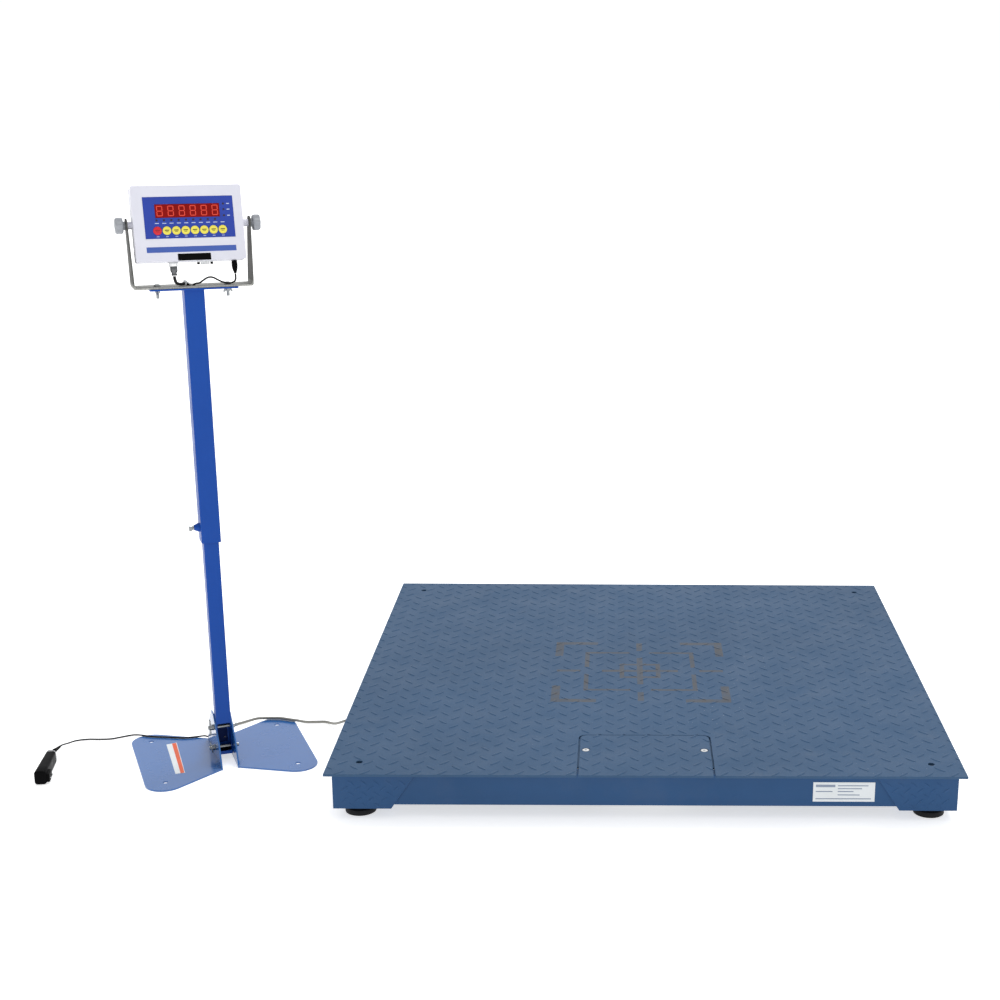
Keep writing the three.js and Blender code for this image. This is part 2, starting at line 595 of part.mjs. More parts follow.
// Inside the post, out of its foot at the rear, over the left foot plate's far corner, along the floor and up
// to the power adapter.
const dcLeadLower = [
  ...[[-4.5, 8.6, 115], [-4.5, 8.6, 85], [-4.6, 8.8, 60], [-4.8, 13, 40], [-5, 25, 22], [-5.4, 42, 9], [-6, 62, 3],
    [-8, 84, 1.9], [-11, 100, 2.1], [-16, 112.5, 3.6], [-24, 117.5, 5.2], [-34, 118.5, 5.2], [-46, 119, 5.2],
    [-66, 122.5, 5.2],
    [-84, 131, 5.2], [-103, 141.5, 5.2], [-119, 149, 5.2], [-134, 158, 5.2], [-149, 171, 5]].map(fromStand),
  [-1092, -184, 2.4], [-1104, -188, 1.9], [-1118, -196.5, 1.9], [-1134, -205, 1.9], [-1157, -207.5, 1.9],
  [-1180, -207.5, 1.9], [-1195, -212, 2.2], [-1205.5, -223, 4], [-1211, -243, 8], [-1214.3, -262, 12.9],
  [-1215.1, -276.6, 16.6], [-1214.8, -284.4, 17.9],
];

// From the plug under the indicator into the hole in the mount plate, in the stand's frame.
const loadCableUpper = [
  [-35, -20.4, 995.1], [-35, -21.3, 990.7], [-32.8, -21.4, 983.4], [-28, -17.8, 980.4], [-22, -12.6, 979.2],
  [-16.8, -6.4, 979.2], [-10.6, -0.2, 978.4], [-6.8, 2.8, 974.4], [-4.8, 3.6, 968], [-4.2, 3.6, 958], [-4, 3.6, 938],
];
const dcLeadUpper = [
  [79, -19.2, 995.9], [79, -20.1, 991.5], [78.3, -20.9, 984.6], [75.5, -19, 981], [70, -15, 978.2],
  [62.5, -10.4, 978.2], [55, -6.8, 980], [47, -4.4, 984], [40, -3.2, 988], [33.5, -3, 989.3],
  [26.5, -3.2, 987.6], [19.5, -4, 983.4], [12.5, -4.8, 979.4], [6.6, -5, 978.6], [2.2, -4.8, 977],
  [-0.2, -4.5, 971], [-0.5, -4.5, 960], [-0.5, -4.5, 938],
];

// One cross-section of the adapter's body, shrunk by an inset, at a place along it.
function adapterSection(size, inset, at) {
  const [w, h, r] = [size.width / 2 - inset, size.height / 2 - inset, size.round - inset];
  return roundedRectangle(w, h, r).getPoints(3)
    .map((p) => new THREE.Vector3(p.x, at, p.y + size.height / 2 + 0.2));
}

// The adapter lies on the floor along +Y, with its blade block on its right and its strain relief at the far end.
function powerAdapter() {
  const { near, far, length, relief } = adapter;
  const body = new ConvexGeometry([...adapterSection(near, 3.5, 0), ...adapterSection(near, 0, 3.5),
    ...adapterSection(far, 0, length - 3.5), ...adapterSection(far, 3.5, length)]);
  const [base, tip] = [relief.base, relief.tip].map((p) => new THREE.Vector3(...p));
  const along = tip.clone().sub(base);
  const sleeve = new THREE.CylinderGeometry(2.3, 4.6, along.length(), 16);
  const up = new THREE.Vector3(0, 1, 0);
  sleeve.applyQuaternion(new THREE.Quaternion().setFromUnitVectors(up, along.clone().normalize()));
  sleeve.translate(...base.clone().add(tip).multiplyScalar(0.5).toArray());
  const block = span([8, 17.5], [3, 30], [4, 22]);
  const blades = [9.5, 22.2].map((y) => span([17, 22], [y - 3.2, y + 3.2], [11.7, 13.3]));
  return made([body, sleeve, block, ...blades]);
}

// ---------------------------------------------------------------- assembly
// The origin is at the middle of the object's footprint, so the platform's centre lies to the right of it.
const leftEdge = stand.x - plate.cornerX * Math.cos(stand.yaw)
  - (plate.middle + plate.cornerY) * Math.sin(stand.yaw) - plate.corner;
const group = new THREE.Group();
group.position.set(-(leftEdge + deck.half) / 2, 0, 0);

const platform = new THREE.Group();
part(platform, 'deck_plate', deckPlate(), look.deck);
part(platform, 'junction_cover', junctionCover(), look.deck);
part(platform, 'cover_screw_left', coverScrew(-1), look.zinc);
part(platform, 'cover_screw_right', coverScrew(1), look.zinc);
part(platform, 'front_beam', frontRearBeam(-1), look.frame);
part(platform, 'rear_beam', frontRearBeam(1), look.frame);
part(platform, 'left_beam', sideBeam(-1), look.frame);
part(platform, 'right_beam', sideBeam(1), look.frame);
part(platform, 'inner_rib_left', innerRib(-1), look.frame);
part(platform, 'inner_rib_right', innerRib(1), look.frame);
for (const [name, sx, sy] of CORNERS) {
  part(platform, `pod_${name}`, cornerPod(sx, sy), look.frame);
  part(platform, `load_cell_${name}`, loadCell(sx, sy), look.cell);
  part(platform, `foot_${name}`, levellingFoot(sx, sy), look.rubber);
}
part(platform, 'junction_box', junctionBox(), look.boxPlastic);
part(platform, 'platform_gland', cableGland(), look.rubber);
part(platform, 'cell_harness', cellHarness(), look.greyCable);
part(platform, 'load_cable_lower', tube(loadCableLower, cable.load, 78), look.greyCable);
part(platform, 'dc_lead_lower', tube(dcLeadLower, cable.lead, 80), look.blackCable);
group.add(platform);

const indicatorStand = new THREE.Group();
indicatorStand.position.set(stand.x, stand.y, 0);
indicatorStand.rotation.z = stand.yaw;
part(indicatorStand, 'left_foot_plate', footPlate(-1), look.stand);
part(indicatorStand, 'right_foot_plate', footPlate(1), look.stand);
part(indicatorStand, 'lower_tube', lowerTube(), look.stand);
part(indicatorStand, 'base_bolt_upper', baseBolt(baseBolts[0], true), look.zinc);
part(indicatorStand, 'base_bolt_lower', baseBolt(baseBolts[1], false), look.zinc);
part(indicatorStand, 'upper_tube', upperTube(), look.stand);
part(indicatorStand, 'height_lock_screw', lockScrew(), look.zinc);
part(indicatorStand, 'mount_plate', mountPlate(), look.stand);
part(indicatorStand, 'u_bracket', uBracket(), look.steel);
for (const [name, side] of [['left', -1], ['right', 1]]) {
  part(indicatorStand, `bracket_bolt_${name}`, bracketBolt(side), look.zinc);
  part(indicatorStand, `bracket_wing_nut_${name}`, wingNut(side), look.zinc);
}
part(indicatorStand, 'load_cable_upper', tube(loadCableUpper, cable.load, 24), look.blackCable);
part(indicatorStand, 'dc_lead_upper', tube(dcLeadUpper, cable.lead, 36), look.blackCable);
group.add(indicatorStand);

const indicator = new THREE.Group();
indicator.position.z = tilt.z;
indicator.rotation.x = -tilt.back;
part(indicator, 'tilt_knob_left', tiltKnob(-1), look.knob);
part(indicator, 'tilt_knob_right', tiltKnob(1), look.knob);
part(indicator, 'housing_front', housingFront(), look.housing);
part(indicator, 'housing_rear', housingRear(), look.housing);
part(indicator, 'keypad_panel', keypadPanel(), look.overlay);
part(indicator, 'display_window', frontRectangle(lens, 0, lens.front, lens.front + lens.thick), look.lens);
part(indicator, 'main_board', mainBoard(), look.board);
keyPlaces().forEach((x, i) => {
  part(indicator, `key_${i + 1}`, keyCap(x), i === 0 ? look.redKey : look.yellowKey);
});
part(indicator, 'load_cell_plug', loadCellPlug(), look.zinc);
part(indicator, 'dc_plug', dcLeadPlug(), look.rubber);
indicatorStand.add(indicator);

const supply = new THREE.Group();
supply.position.set(adapter.x, adapter.y, 0);
supply.rotation.z = adapter.turn;
part(supply, 'power_adapter', powerAdapter(), look.rubber);
group.add(supply);

export default group;
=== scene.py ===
"""Looks of the platform shipping scale. Sizes are in millimetres, in four local frames: the platform's (its
centre on the floor), the stand's (the post's axis), the indicator's (its tilt axis) and the adapter's."""
import math

import bmesh
import bpy
from mathutils import Matrix, Vector


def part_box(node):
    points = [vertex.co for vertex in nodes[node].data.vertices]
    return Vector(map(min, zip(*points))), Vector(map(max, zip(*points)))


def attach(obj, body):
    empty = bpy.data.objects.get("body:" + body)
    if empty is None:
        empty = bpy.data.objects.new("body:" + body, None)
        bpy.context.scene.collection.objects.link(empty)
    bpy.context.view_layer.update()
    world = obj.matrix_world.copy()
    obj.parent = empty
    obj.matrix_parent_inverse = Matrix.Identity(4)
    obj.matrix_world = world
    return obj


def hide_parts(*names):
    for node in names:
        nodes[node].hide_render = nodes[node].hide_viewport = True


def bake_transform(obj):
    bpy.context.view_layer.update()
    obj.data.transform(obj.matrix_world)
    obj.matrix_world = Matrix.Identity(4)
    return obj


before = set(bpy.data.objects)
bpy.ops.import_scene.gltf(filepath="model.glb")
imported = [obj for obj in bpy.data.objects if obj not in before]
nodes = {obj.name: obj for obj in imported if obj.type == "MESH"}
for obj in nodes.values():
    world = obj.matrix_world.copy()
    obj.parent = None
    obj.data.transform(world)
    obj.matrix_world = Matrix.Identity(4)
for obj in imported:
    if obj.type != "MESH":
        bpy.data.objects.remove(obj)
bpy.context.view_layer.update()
scene = bpy.context.scene
BASE, MAST, HEAD = "platform_and_base", "mast", "indicator"
CORNERS = (("front_left", -1, -1), ("front_right", 1, -1), ("rear_left", -1, 1), ("rear_right", 1, 1))

# --- frames
deck_low, deck_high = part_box("deck_plate")
ORIGIN_X = (deck_low[0] + deck_high[0]) / 2
SCALE = Matrix.Scale(0.001, 4)
PLATFORM = Matrix.Translation((ORIGIN_X, 0, 0)) @ SCALE
STAND_YAW = math.radians(22)
STAND_AT = (ORIGIN_X - 0.871, -0.294, 0)
STAND = Matrix.Translation(STAND_AT) @ Matrix.Rotation(STAND_YAW, 4, "Z") @ SCALE
TILT_Z, REST_TILT = 1089.5, math.radians(-11)
INDICATOR = STAND @ Matrix.Translation((0, 0, TILT_Z)) @ Matrix.Rotation(REST_TILT, 4, "X")
ADAPTER_AT, ADAPTER_YAW = (-1205, -441, 0), math.radians(7)
ADAPTER = PLATFORM @ Matrix.Translation(ADAPTER_AT) @ Matrix.Rotation(ADAPTER_YAW, 4, "Z")


# --- camera
def make_camera():
    """At the photograph's viewing angle, fitted to the deck's corners and the post's verticals."""
    pitch, yaw, roll = math.radians(16.857), math.radians(0.438), math.radians(0.405)
    forward = Vector((math.sin(yaw) * math.cos(pitch), math.cos(yaw) * math.cos(pitch), -math.sin(pitch)))
    right = Vector((math.cos(yaw), -math.sin(yaw), 0))
    up = right.cross(forward)
    right2 = right * math.cos(roll) + up * math.sin(roll)
    up2 = up * math.cos(roll) - right * math.sin(roll)
    data = bpy.data.cameras.new("camera")
    data.sensor_width = 36
    data.lens = 59.774
    data.shift_x = -0.12975
    data.shift_y = 0.07363
    camera = bpy.data.objects.new("camera", data)
    scene.collection.objects.link(camera)
    rotation = Matrix((right2, up2, -forward)).transposed().to_4x4()
    camera.matrix_world = Matrix.Translation((ORIGIN_X - 0.0555, -3.4975, 1.3733)) @ rotation
    scene.camera = camera


make_camera()


# --- material helpers
def srgb(r, g, b):
    def linear(c):
        c /= 255
        return c / 12.92 if c <= 0.04045 else ((c + 0.055) / 1.055) ** 2.4
    return (linear(r), linear(g), linear(b), 1)


class Tree:
    """A node tree, with short calls for its nodes. position is where the textures and axes start."""

    def __init__(self, tree, position):
        self.tree = tree
        self.coordinates = tree.nodes.new("ShaderNodeTexCoord").outputs
        self.position = self.coordinates[position]

    def put(self, socket, value):
        if isinstance(value, bpy.types.NodeSocket):
            self.tree.links.new(value, socket)
        else:
            socket.default_value = value

    def node(self, kind, **inputs):
        """A new node with its inputs set, or linked where the value is a socket."""
        node = self.tree.nodes.new("ShaderNode" + kind)
        for name, value in inputs.items():
            self.put(node.inputs[name], value)
        return node

    def math(self, operation, a, b=0.0):
        node = self.node("Math")
        node.operation = operation
        self.put(node.inputs[0], a)
        self.put(node.inputs[1], b)
        return node.outputs[0]

    def scaled(self, scale):
        return self.node("Mapping", Vector=self.position, Scale=scale).outputs[0]

    def noise(self, scale, detail=3.0, roughness=0.55, vector=None):
        node = self.node("TexNoise", Scale=scale, Detail=detail, Roughness=roughness,
                         Vector=vector or self.position)
        return node.outputs["Fac"]

    def cells(self, scale):
        return self.node("TexVoronoi", Scale=scale, Vector=self.position).outputs["Distance"]

    def spread(self, value, low, high, out_low=0.0, out_high=1.0):
        node = self.node("MapRange")
        for socket, v in zip(node.inputs, (value, low, high, out_low, out_high)):
            self.put(socket, v)
        return node.outputs[0]

    def mix(self, factor, a, b):
        node = self.node("Mix")
        node.data_type = "RGBA"
        for name, value in (("Factor", factor), ("A", a), ("B", b)):
            self.put(node.inputs[name], value)
        return node.outputs["Result"]

    def bump(self, height, distance):
        return self.node("Bump", Strength=1.0, Distance=distance, Height=height).outputs[0]

    def axes(self):
        return self.node("SeparateXYZ", Vector=self.position).outputs


class Nodes(Tree):
    """A material with one principled shader."""

    def __init__(self, name):
        self.material = bpy.data.materials.new(name)
        self.material.use_nodes = True
        self.material.node_tree.nodes.clear()
        super().__init__(self.material.node_tree, "Object")
        self.shader = self.node("BsdfPrincipled")
        self.node("OutputMaterial", Surface=self.shader.outputs[0])

    def set(self, **values):
        for name, value in values.items():
            self.put(self.shader.inputs[name.replace("_", " ")], value)


def tone(color, factor):
    return tuple(c * factor for c in color[:3]) + (1,)


def paint(name, color, roughness, peel=0.00004, coat=0.0, variation=0.08, dirt=0.0, shine=0.5):
    """Sprayed paint: slow colour drift, orange peel and faint dirt."""
    n = Nodes(name)
    drift = n.noise(2.2, 4)
    fine = n.noise(38, 3)
    base = n.mix(n.spread(drift, 0.35, 0.65), tone(color, 1 - variation), tone(color, 1 + variation))
    base = n.mix(n.spread(fine, 0.45, 0.75, 0, 0.25), base, tone(color, 1.12))
    if dirt:
        grime = n.spread(n.noise(9, 6, 0.7), 0.52, 0.8, 0, dirt)
        base = n.mix(grime, base, srgb(96, 98, 100))
    n.set(Base_Color=base, Roughness=n.spread(n.noise(14, 4), 0.3, 0.7, roughness - 0.05, roughness + 0.07),
          Coat_Weight=coat, Coat_Roughness=0.12, Specular_IOR_Level=shine)
    n.set(Normal=n.bump(n.noise(420, 2), peel))
    return n.material


def bracket_steel(name, color):
    """Rolled steel strip, brushed along its arms. Painted shade darkens the arms almost to black, a little
    less on faces turned to the front and back (painted highlight); the flat keeps the steel's colour.
    """
    n = Nodes(name)
    grain = n.noise(1.0, 4, 0.6, n.scaled([900.0, 900.0, 16.0]))
    stain = n.noise(26, 5, 0.65)
    base = n.mix(n.spread(grain, 0.3, 0.7), tone(color, 0.6), tone(color, 1.2))
    base = n.mix(n.spread(stain, 0.5, 0.78, 0, 0.4), base, tone(color, 0.5))
    # painted shade: above the bend the arms are darkened almost to black, by height with a little noise
    upright = n.math("MULTIPLY", n.spread(n.axes()[2], 0.976, 0.984),
                     n.spread(n.noise(9, 4), 0.3, 0.6, 0.78, 0.98))
    # painted highlight: faces turned to the stand's front and back are darkened less than the arms' sides
    along = n.node("VectorMath")
    along.operation = "DOT_PRODUCT"
    n.put(along.inputs[0], n.coordinates["Normal"])
    n.put(along.inputs[1], (math.sin(STAND_YAW), -math.cos(STAND_YAW), 0))
    edge = n.spread(n.math("ABSOLUTE", along.outputs["Value"]), 0.7, 0.9, 1, 0.88)
    base = n.mix(n.math("MULTIPLY", upright, edge), base, tone(color, 0.07))
    n.set(Base_Color=base, Metallic=0.2, Specular_IOR_Level=0.02, Specular_Tint=(0.2, 0.2, 0.2, 1),
          Roughness=n.spread(grain, 0.3, 0.7, 0.3, 0.5))
    n.set(Normal=n.bump(grain, 0.00003))
    return n.material


def zinc(name, color=srgb(196, 198, 196), roughness=0.32):
    n = Nodes(name)
    spangle = n.cells(600)
    base = n.mix(n.spread(spangle, 0.1, 0.8), tone(color, 0.82), tone(color, 1.08))
    base = n.mix(n.spread(n.noise(70, 4), 0.55, 0.8, 0, 0.5), base, tone(color, 0.5))
    n.set(Base_Color=base, Metallic=0.9, Roughness=n.spread(n.noise(120, 3), 0.3, 0.7, roughness - 0.08,
                                                            roughness + 0.1))
    n.set(Normal=n.bump(n.noise(700, 2), 0.00002))
    return n.material


def moulded(name, color, roughness, grain=1400, depth=0.00005, variation=0.1, coat=0.0, shine=0.5, tint=1.0):
    """Moulded plastic or rubber with a fine surface texture."""
    n = Nodes(name)
    base = n.mix(n.spread(n.noise(30, 4), 0.3, 0.7), tone(color, 1 - variation), tone(color, 1 + variation))
    n.set(Base_Color=base, Roughness=n.spread(n.noise(60, 3), 0.3, 0.7, roughness - 0.06, roughness + 0.06),
          Coat_Weight=coat, Coat_Roughness=0.1, Specular_IOR_Level=shine, Specular_Tint=(tint, tint, tint, 1))
    n.set(Normal=n.bump(n.noise(grain, 3, 0.65), depth))
    return n.material


def glowing(name, color, strength):
    n = Nodes(name)
    base = n.mix(n.spread(n.noise(900, 2), 0.3, 0.7), tone(color, 0.85), tone(color, 1.1))
    n.set(Base_Color=base, Roughness=0.35, Emission_Color=base, Emission_Strength=strength)
    return n.material


# The deck's mark, printed in worn grey-brown: a square target with corner brackets and a cross in the middle.
MARK = dict(x=-5.0, y=-38.0, half=182.0, line=9.0)


def deck_paint(name, color):
    n = Nodes(name)
    x, y = [n.math("MULTIPLY", v, 1000.0) for v in n.axes()[:2]]
    dx = n.math("ABSOLUTE", n.math("SUBTRACT", x, ORIGIN_X * 1000 + MARK["x"]))
    dy = n.math("ABSOLUTE", n.math("SUBTRACT", y, MARK["y"]))
    far = n.math("MAXIMUM", dx, dy)
    near = n.math("MINIMUM", dx, dy)

    def band(value, centre, half):
        return n.math("LESS_THAN", n.math("ABSOLUTE", n.math("SUBTRACT", value, centre)), half)

    def both(a, b):
        return n.math("MULTIPLY", a, b)

    brackets = both(band(far, MARK["half"], MARK["line"]), n.math("GREATER_THAN", near, 95.0))
    inner = both(band(far, 118.0, 5.0), n.math("GREATER_THAN", near, 22.0))
    cross = both(n.math("LESS_THAN", near, 6.5), n.math("LESS_THAN", far, 84.0))
    square = band(far, 40.0, 5.0)
    ticks = both(n.math("LESS_THAN", near, 6.5), band(far, 158.0, 26.0))
    print_mask = brackets
    for shape in (inner, cross, square, ticks):
        print_mask = n.math("MAXIMUM", print_mask, shape)
    worn = n.spread(n.noise(55, 5, 0.7), 0.36, 0.62, 0.95, 0.55)
    print_mask = n.math("MULTIPLY", print_mask, worn)

    drift = n.noise(1.8, 4)
    base = n.mix(n.spread(drift, 0.35, 0.65), tone(color, 0.93), tone(color, 1.07))
    base = n.mix(n.spread(n.noise(34, 5, 0.65), 0.42, 0.75, 0, 0.25), base, tone(color, 1.2))
    base = n.mix(n.spread(n.noise(11, 6, 0.72), 0.55, 0.82, 0, 0.22), base, srgb(104, 112, 122))
    base = n.mix(n.spread(n.noise(150, 4, 0.7), 0.4, 0.68, 0.28, 0), base, tone(color, 0.72))
    base = n.mix(print_mask, base, srgb(78, 78, 79))
    dots = n.math("MULTIPLY", n.spread(n.cells(70), 0.07, 0.03), n.spread(n.noise(3.5, 3), 0.52, 0.7))
    base = n.mix(n.math("MULTIPLY", dots, 0.7), base, srgb(186, 190, 192))
    n.set(Base_Color=base, Roughness=n.spread(n.noise(12, 5), 0.3, 0.7, 0.46, 0.62), Specular_IOR_Level=0.2)
    n.set(Normal=n.bump(n.noise(240, 4, 0.65), 0.00022))
    return n.material


# --- mesh helpers
def add(name, bm, matrix, body, material, replaces=(), sharp=35, slot=None, weighted=False):
    """A new piece from its mesh in a local frame, the body it rides on and the CAD nodes it stands for."""
    bmesh.ops.remove_doubles(bm, verts=bm.verts, dist=1e-4)
    bmesh.ops.recalc_face_normals(bm, faces=bm.faces)
    bm.transform(matrix)
    mesh = bpy.data.meshes.new(name)
    bm.to_mesh(mesh)
    bm.free()
    obj = bpy.data.objects.new(name, mesh)
    scene.collection.objects.link(obj)
    mesh.materials.append(look[material])
    mesh.polygons.foreach_set("use_smooth", [True] * len(mesh.polygons))
    mesh.set_sharp_from_angle(angle=math.radians(sharp))
    mesh.update()
    if weighted:
        modifier = obj.modifiers.new("normals", "WEIGHTED_NORMAL")
        modifier.keep_sharp = True
        modifier.weight = 90
    if body:
        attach(obj, body)
    if replaces:
        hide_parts(*replaces)
    return obj


def adder(matrix, usual_body):
    """Adds pieces in one local frame, on its usual body unless another is named."""
    def add_here(name, bm, material, body=usual_body, **facts):
        return add(name, bm, matrix, body, material, **facts)
    return add_here


to_platform, to_stand, to_adapter = adder(PLATFORM, BASE), adder(STAND, BASE), adder(ADAPTER, BASE)
to_indicator = adder(INDICATOR, HEAD)


def bridge(bm, rings):
    """Joins each ring to the next and closes both ends."""
    for low, high in zip(rings, rings[1:]):
        for i in range(len(low)):
            j = (i + 1) % len(low)
            bm.faces.new((low[i], low[j], high[j], high[i]))
    bm.faces.new(rings[0][::-1])
    bm.faces.new(rings[-1])
    return bm


def arc(x, y, radius, start, end, steps=8):
    """Points on an arc about x, y from one angle to another, in degrees."""
    angles = [math.radians(start + (end - start) * i / steps) for i in range(steps + 1)]
    return [(x + radius * math.cos(a), y + radius * math.sin(a)) for a in angles]


def rounded_outline(half_x, half_y, corner, x=0.0, y=0.0):
    points = []
    for cx, cy, start in ((1, 1, 0), (-1, 1, 90), (-1, -1, 180), (1, -1, 270)):
        points += arc(x + cx * (half_x - corner), y + cy * (half_y - corner), corner, start, start + 90)
    return points


def circle(radius, x, y, steps):
    return arc(x, y, radius, 0, 360, steps)[:-1]


def turned_to(way):
    """The turn that takes the z axis to a direction."""
    return Vector((0, 0, 1)).rotation_difference(way).to_matrix().to_4x4()


def sheet(outline, holes, low, high, bevel=0.0):
    """A flat sheet from an outline and holes, between two heights, with its edges rounded."""
    curve = bpy.data.curves.new("outline", "CURVE")
    curve.dimensions = "2D"
    curve.fill_mode = "BOTH"
    for points in [outline, *holes]:
        spline = curve.splines.new("POLY")
        spline.points.add(len(points) - 1)
        for point, (x, y) in zip(spline.points, points):
            point.co = (x, y, 0, 1)
        spline.use_cyclic_u = True
    curve.extrude = (high - low) / 2 - bevel
    curve.bevel_depth = bevel
    curve.bevel_resolution = 2
    curve.offset = -bevel
    obj = bpy.data.objects.new("outline", curve)
    scene.collection.objects.link(obj)
    bpy.context.view_layer.update()
    mesh = bpy.data.meshes.new_from_object(obj.evaluated_get(bpy.context.evaluated_depsgraph_get()))
    bm = bmesh.new()
    bm.from_mesh(mesh)
    bpy.data.objects.remove(obj)
    bpy.data.meshes.remove(mesh)
    bmesh.ops.remove_doubles(bm, verts=bm.verts, dist=1e-4)
    bmesh.ops.translate(bm, verts=bm.verts, vec=(0, 0, (low + high) / 2))
    return bm


AXES = {
    "x": Matrix(((0, 0, 1, 0), (1, 0, 0, 0), (0, 1, 0, 0), (0, 0, 0, 1))),
    "y": Matrix(((0, 1, 0, 0), (0, 0, 1, 0), (1, 0, 0, 0), (0, 0, 0, 1))),
    "z": Matrix.Identity(4),
}


def lathe(profile, axis="z", centre=(0, 0), steps=40, lobes=None):
    """A turned piece. profile is [(radius, place along the axis)], from end to end. lobes(angle) scales the
    radius."""
    bm = bmesh.new()
    rings = []
    for radius, height in profile:
        if radius < 1e-6:
            rings.append([bm.verts.new((0, 0, height))])
            continue
        ring = []
        for i in range(steps):
            a = 2 * math.pi * i / steps
            r = radius * (lobes(a) if lobes else 1)
            ring.append(bm.verts.new((r * math.cos(a), r * math.sin(a), height)))
        rings.append(ring)
    for low, high in zip(rings, rings[1:]):
        for i in range(steps):
            j = (i + 1) % steps
            if len(low) == 1 and len(high) == 1:
                break
            if len(low) == 1:
                bm.faces.new((low[0], high[j], high[i]))
            elif len(high) == 1:
                bm.faces.new((low[i], low[j], high[0]))
            else:
                bm.faces.new((low[i], low[j], high[j], high[i]))
    for ring, flip in ((rings[0], True), (rings[-1], False)):
        if len(ring) > 1:
            bm.faces.new(ring[::-1] if flip else ring)
    bmesh.ops.translate(bm, verts=bm.verts, vec=(centre[0], centre[1], 0))
    bm.transform(AXES[axis])
    return bm


def box(x, y, z, bevel=0.0, segments=2):
    bm = bmesh.new()
    bmesh.ops.create_cube(bm, size=1)
    size = Vector((x[1] - x[0], y[1] - y[0], z[1] - z[0]))
    bmesh.ops.scale(bm, verts=bm.verts, vec=size)
    bmesh.ops.translate(bm, verts=bm.verts, vec=((x[0] + x[1]) / 2, (y[0] + y[1]) / 2, (z[0] + z[1]) / 2))
    if bevel:
        bmesh.ops.bevel(bm, geom=bm.edges[:], offset=bevel, segments=segments, profile=0.5, affect="EDGES")
    return bm


def prism(points, axis, low, high):
    """An outline, in the other two directions in cyclic order, extruded along an axis."""
    bm = bmesh.new()
    bottom = [bm.verts.new((x, y, low)) for x, y in points]
    top = [bm.verts.new((x, y, high)) for x, y in points]
    bm.faces.new(bottom[::-1])
    bm.faces.new(top)
    for i in range(len(points)):
        j = (i + 1) % len(points)
        bm.faces.new((bottom[i], bottom[j], top[j], top[i]))
    bm.transform(AXES[axis])
    bmesh.ops.recalc_face_normals(bm, faces=bm.faces)
    return bm


def merged(*parts):
    """Several loose bmeshes in one."""
    whole = bmesh.new()
    for part in parts:
        mesh = bpy.data.meshes.new("part")
        part.to_mesh(mesh)
        part.free()
        whole.from_mesh(mesh)
        bpy.data.meshes.remove(mesh)
    return whole


def combined(base, others, operation, bevel=0.0, segments=2, angle=35):
    """base joined with, cut by, or kept inside the other bmeshes, then with its edges rounded."""
    def as_object(bm):
        bmesh.ops.recalc_face_normals(bm, faces=bm.faces)
        mesh = bpy.data.meshes.new("tool")
        bm.to_mesh(mesh)
        bm.free()
        obj = bpy.data.objects.new("tool", mesh)
        scene.collection.objects.link(obj)
        return obj
    body = as_object(base)
    tools = [as_object(bm) for bm in others]
    for tool in tools:
        modifier = body.modifiers.new("cut", "BOOLEAN")
        modifier.operation = operation
        modifier.solver = "EXACT"
        modifier.object = tool
    if bevel:
        round_edges(body, bevel, segments, angle)
    bpy.context.view_layer.update()
    mesh = bpy.data.meshes.new_from_object(body.evaluated_get(bpy.context.evaluated_depsgraph_get()))
    bm = bmesh.new()
    bm.from_mesh(mesh)
    for obj in [body, *tools]:
        data = obj.data
        bpy.data.objects.remove(obj)
        bpy.data.meshes.remove(data)
    bpy.data.meshes.remove(mesh)
    return bm


def round_edges(obj, width, segments=2, angle=35):
    """Flat faces are joined and sharp edges rounded, without touching the mesh itself."""
    weld = obj.modifiers.new("weld", "WELD")
    weld.merge_threshold = width * 0.01
    flat = obj.modifiers.new("flat", "DECIMATE")
    flat.decimate_type = "DISSOLVE"
    flat.angle_limit = math.radians(1.5)
    bevel = obj.modifiers.new("round", "BEVEL")
    bevel.width = width
    bevel.segments = segments
    bevel.limit_method = "ANGLE"
    bevel.angle_limit = math.radians(angle)
    bevel.use_clamp_overlap = True
    bevel.miter_outer = "MITER_ARC"


def cad(name, material, width=0.0, segments=2, angle=35):
    """A CAD node that stays, with a better material and rounded edges."""
    obj = nodes[name]
    mesh = obj.data
    mesh.materials.clear()
    mesh.materials.append(look[material])
    mesh.polygons.foreach_set("use_smooth", [True] * len(mesh.polygons))
    mesh.polygons.foreach_set("material_index", [0] * len(mesh.polygons))
    if width:
        round_edges(obj, width * 0.001, segments, angle)
    modifier = obj.modifiers.new("normals", "WEIGHTED_NORMAL")
    modifier.weight = 100
    modifier.keep_sharp = False


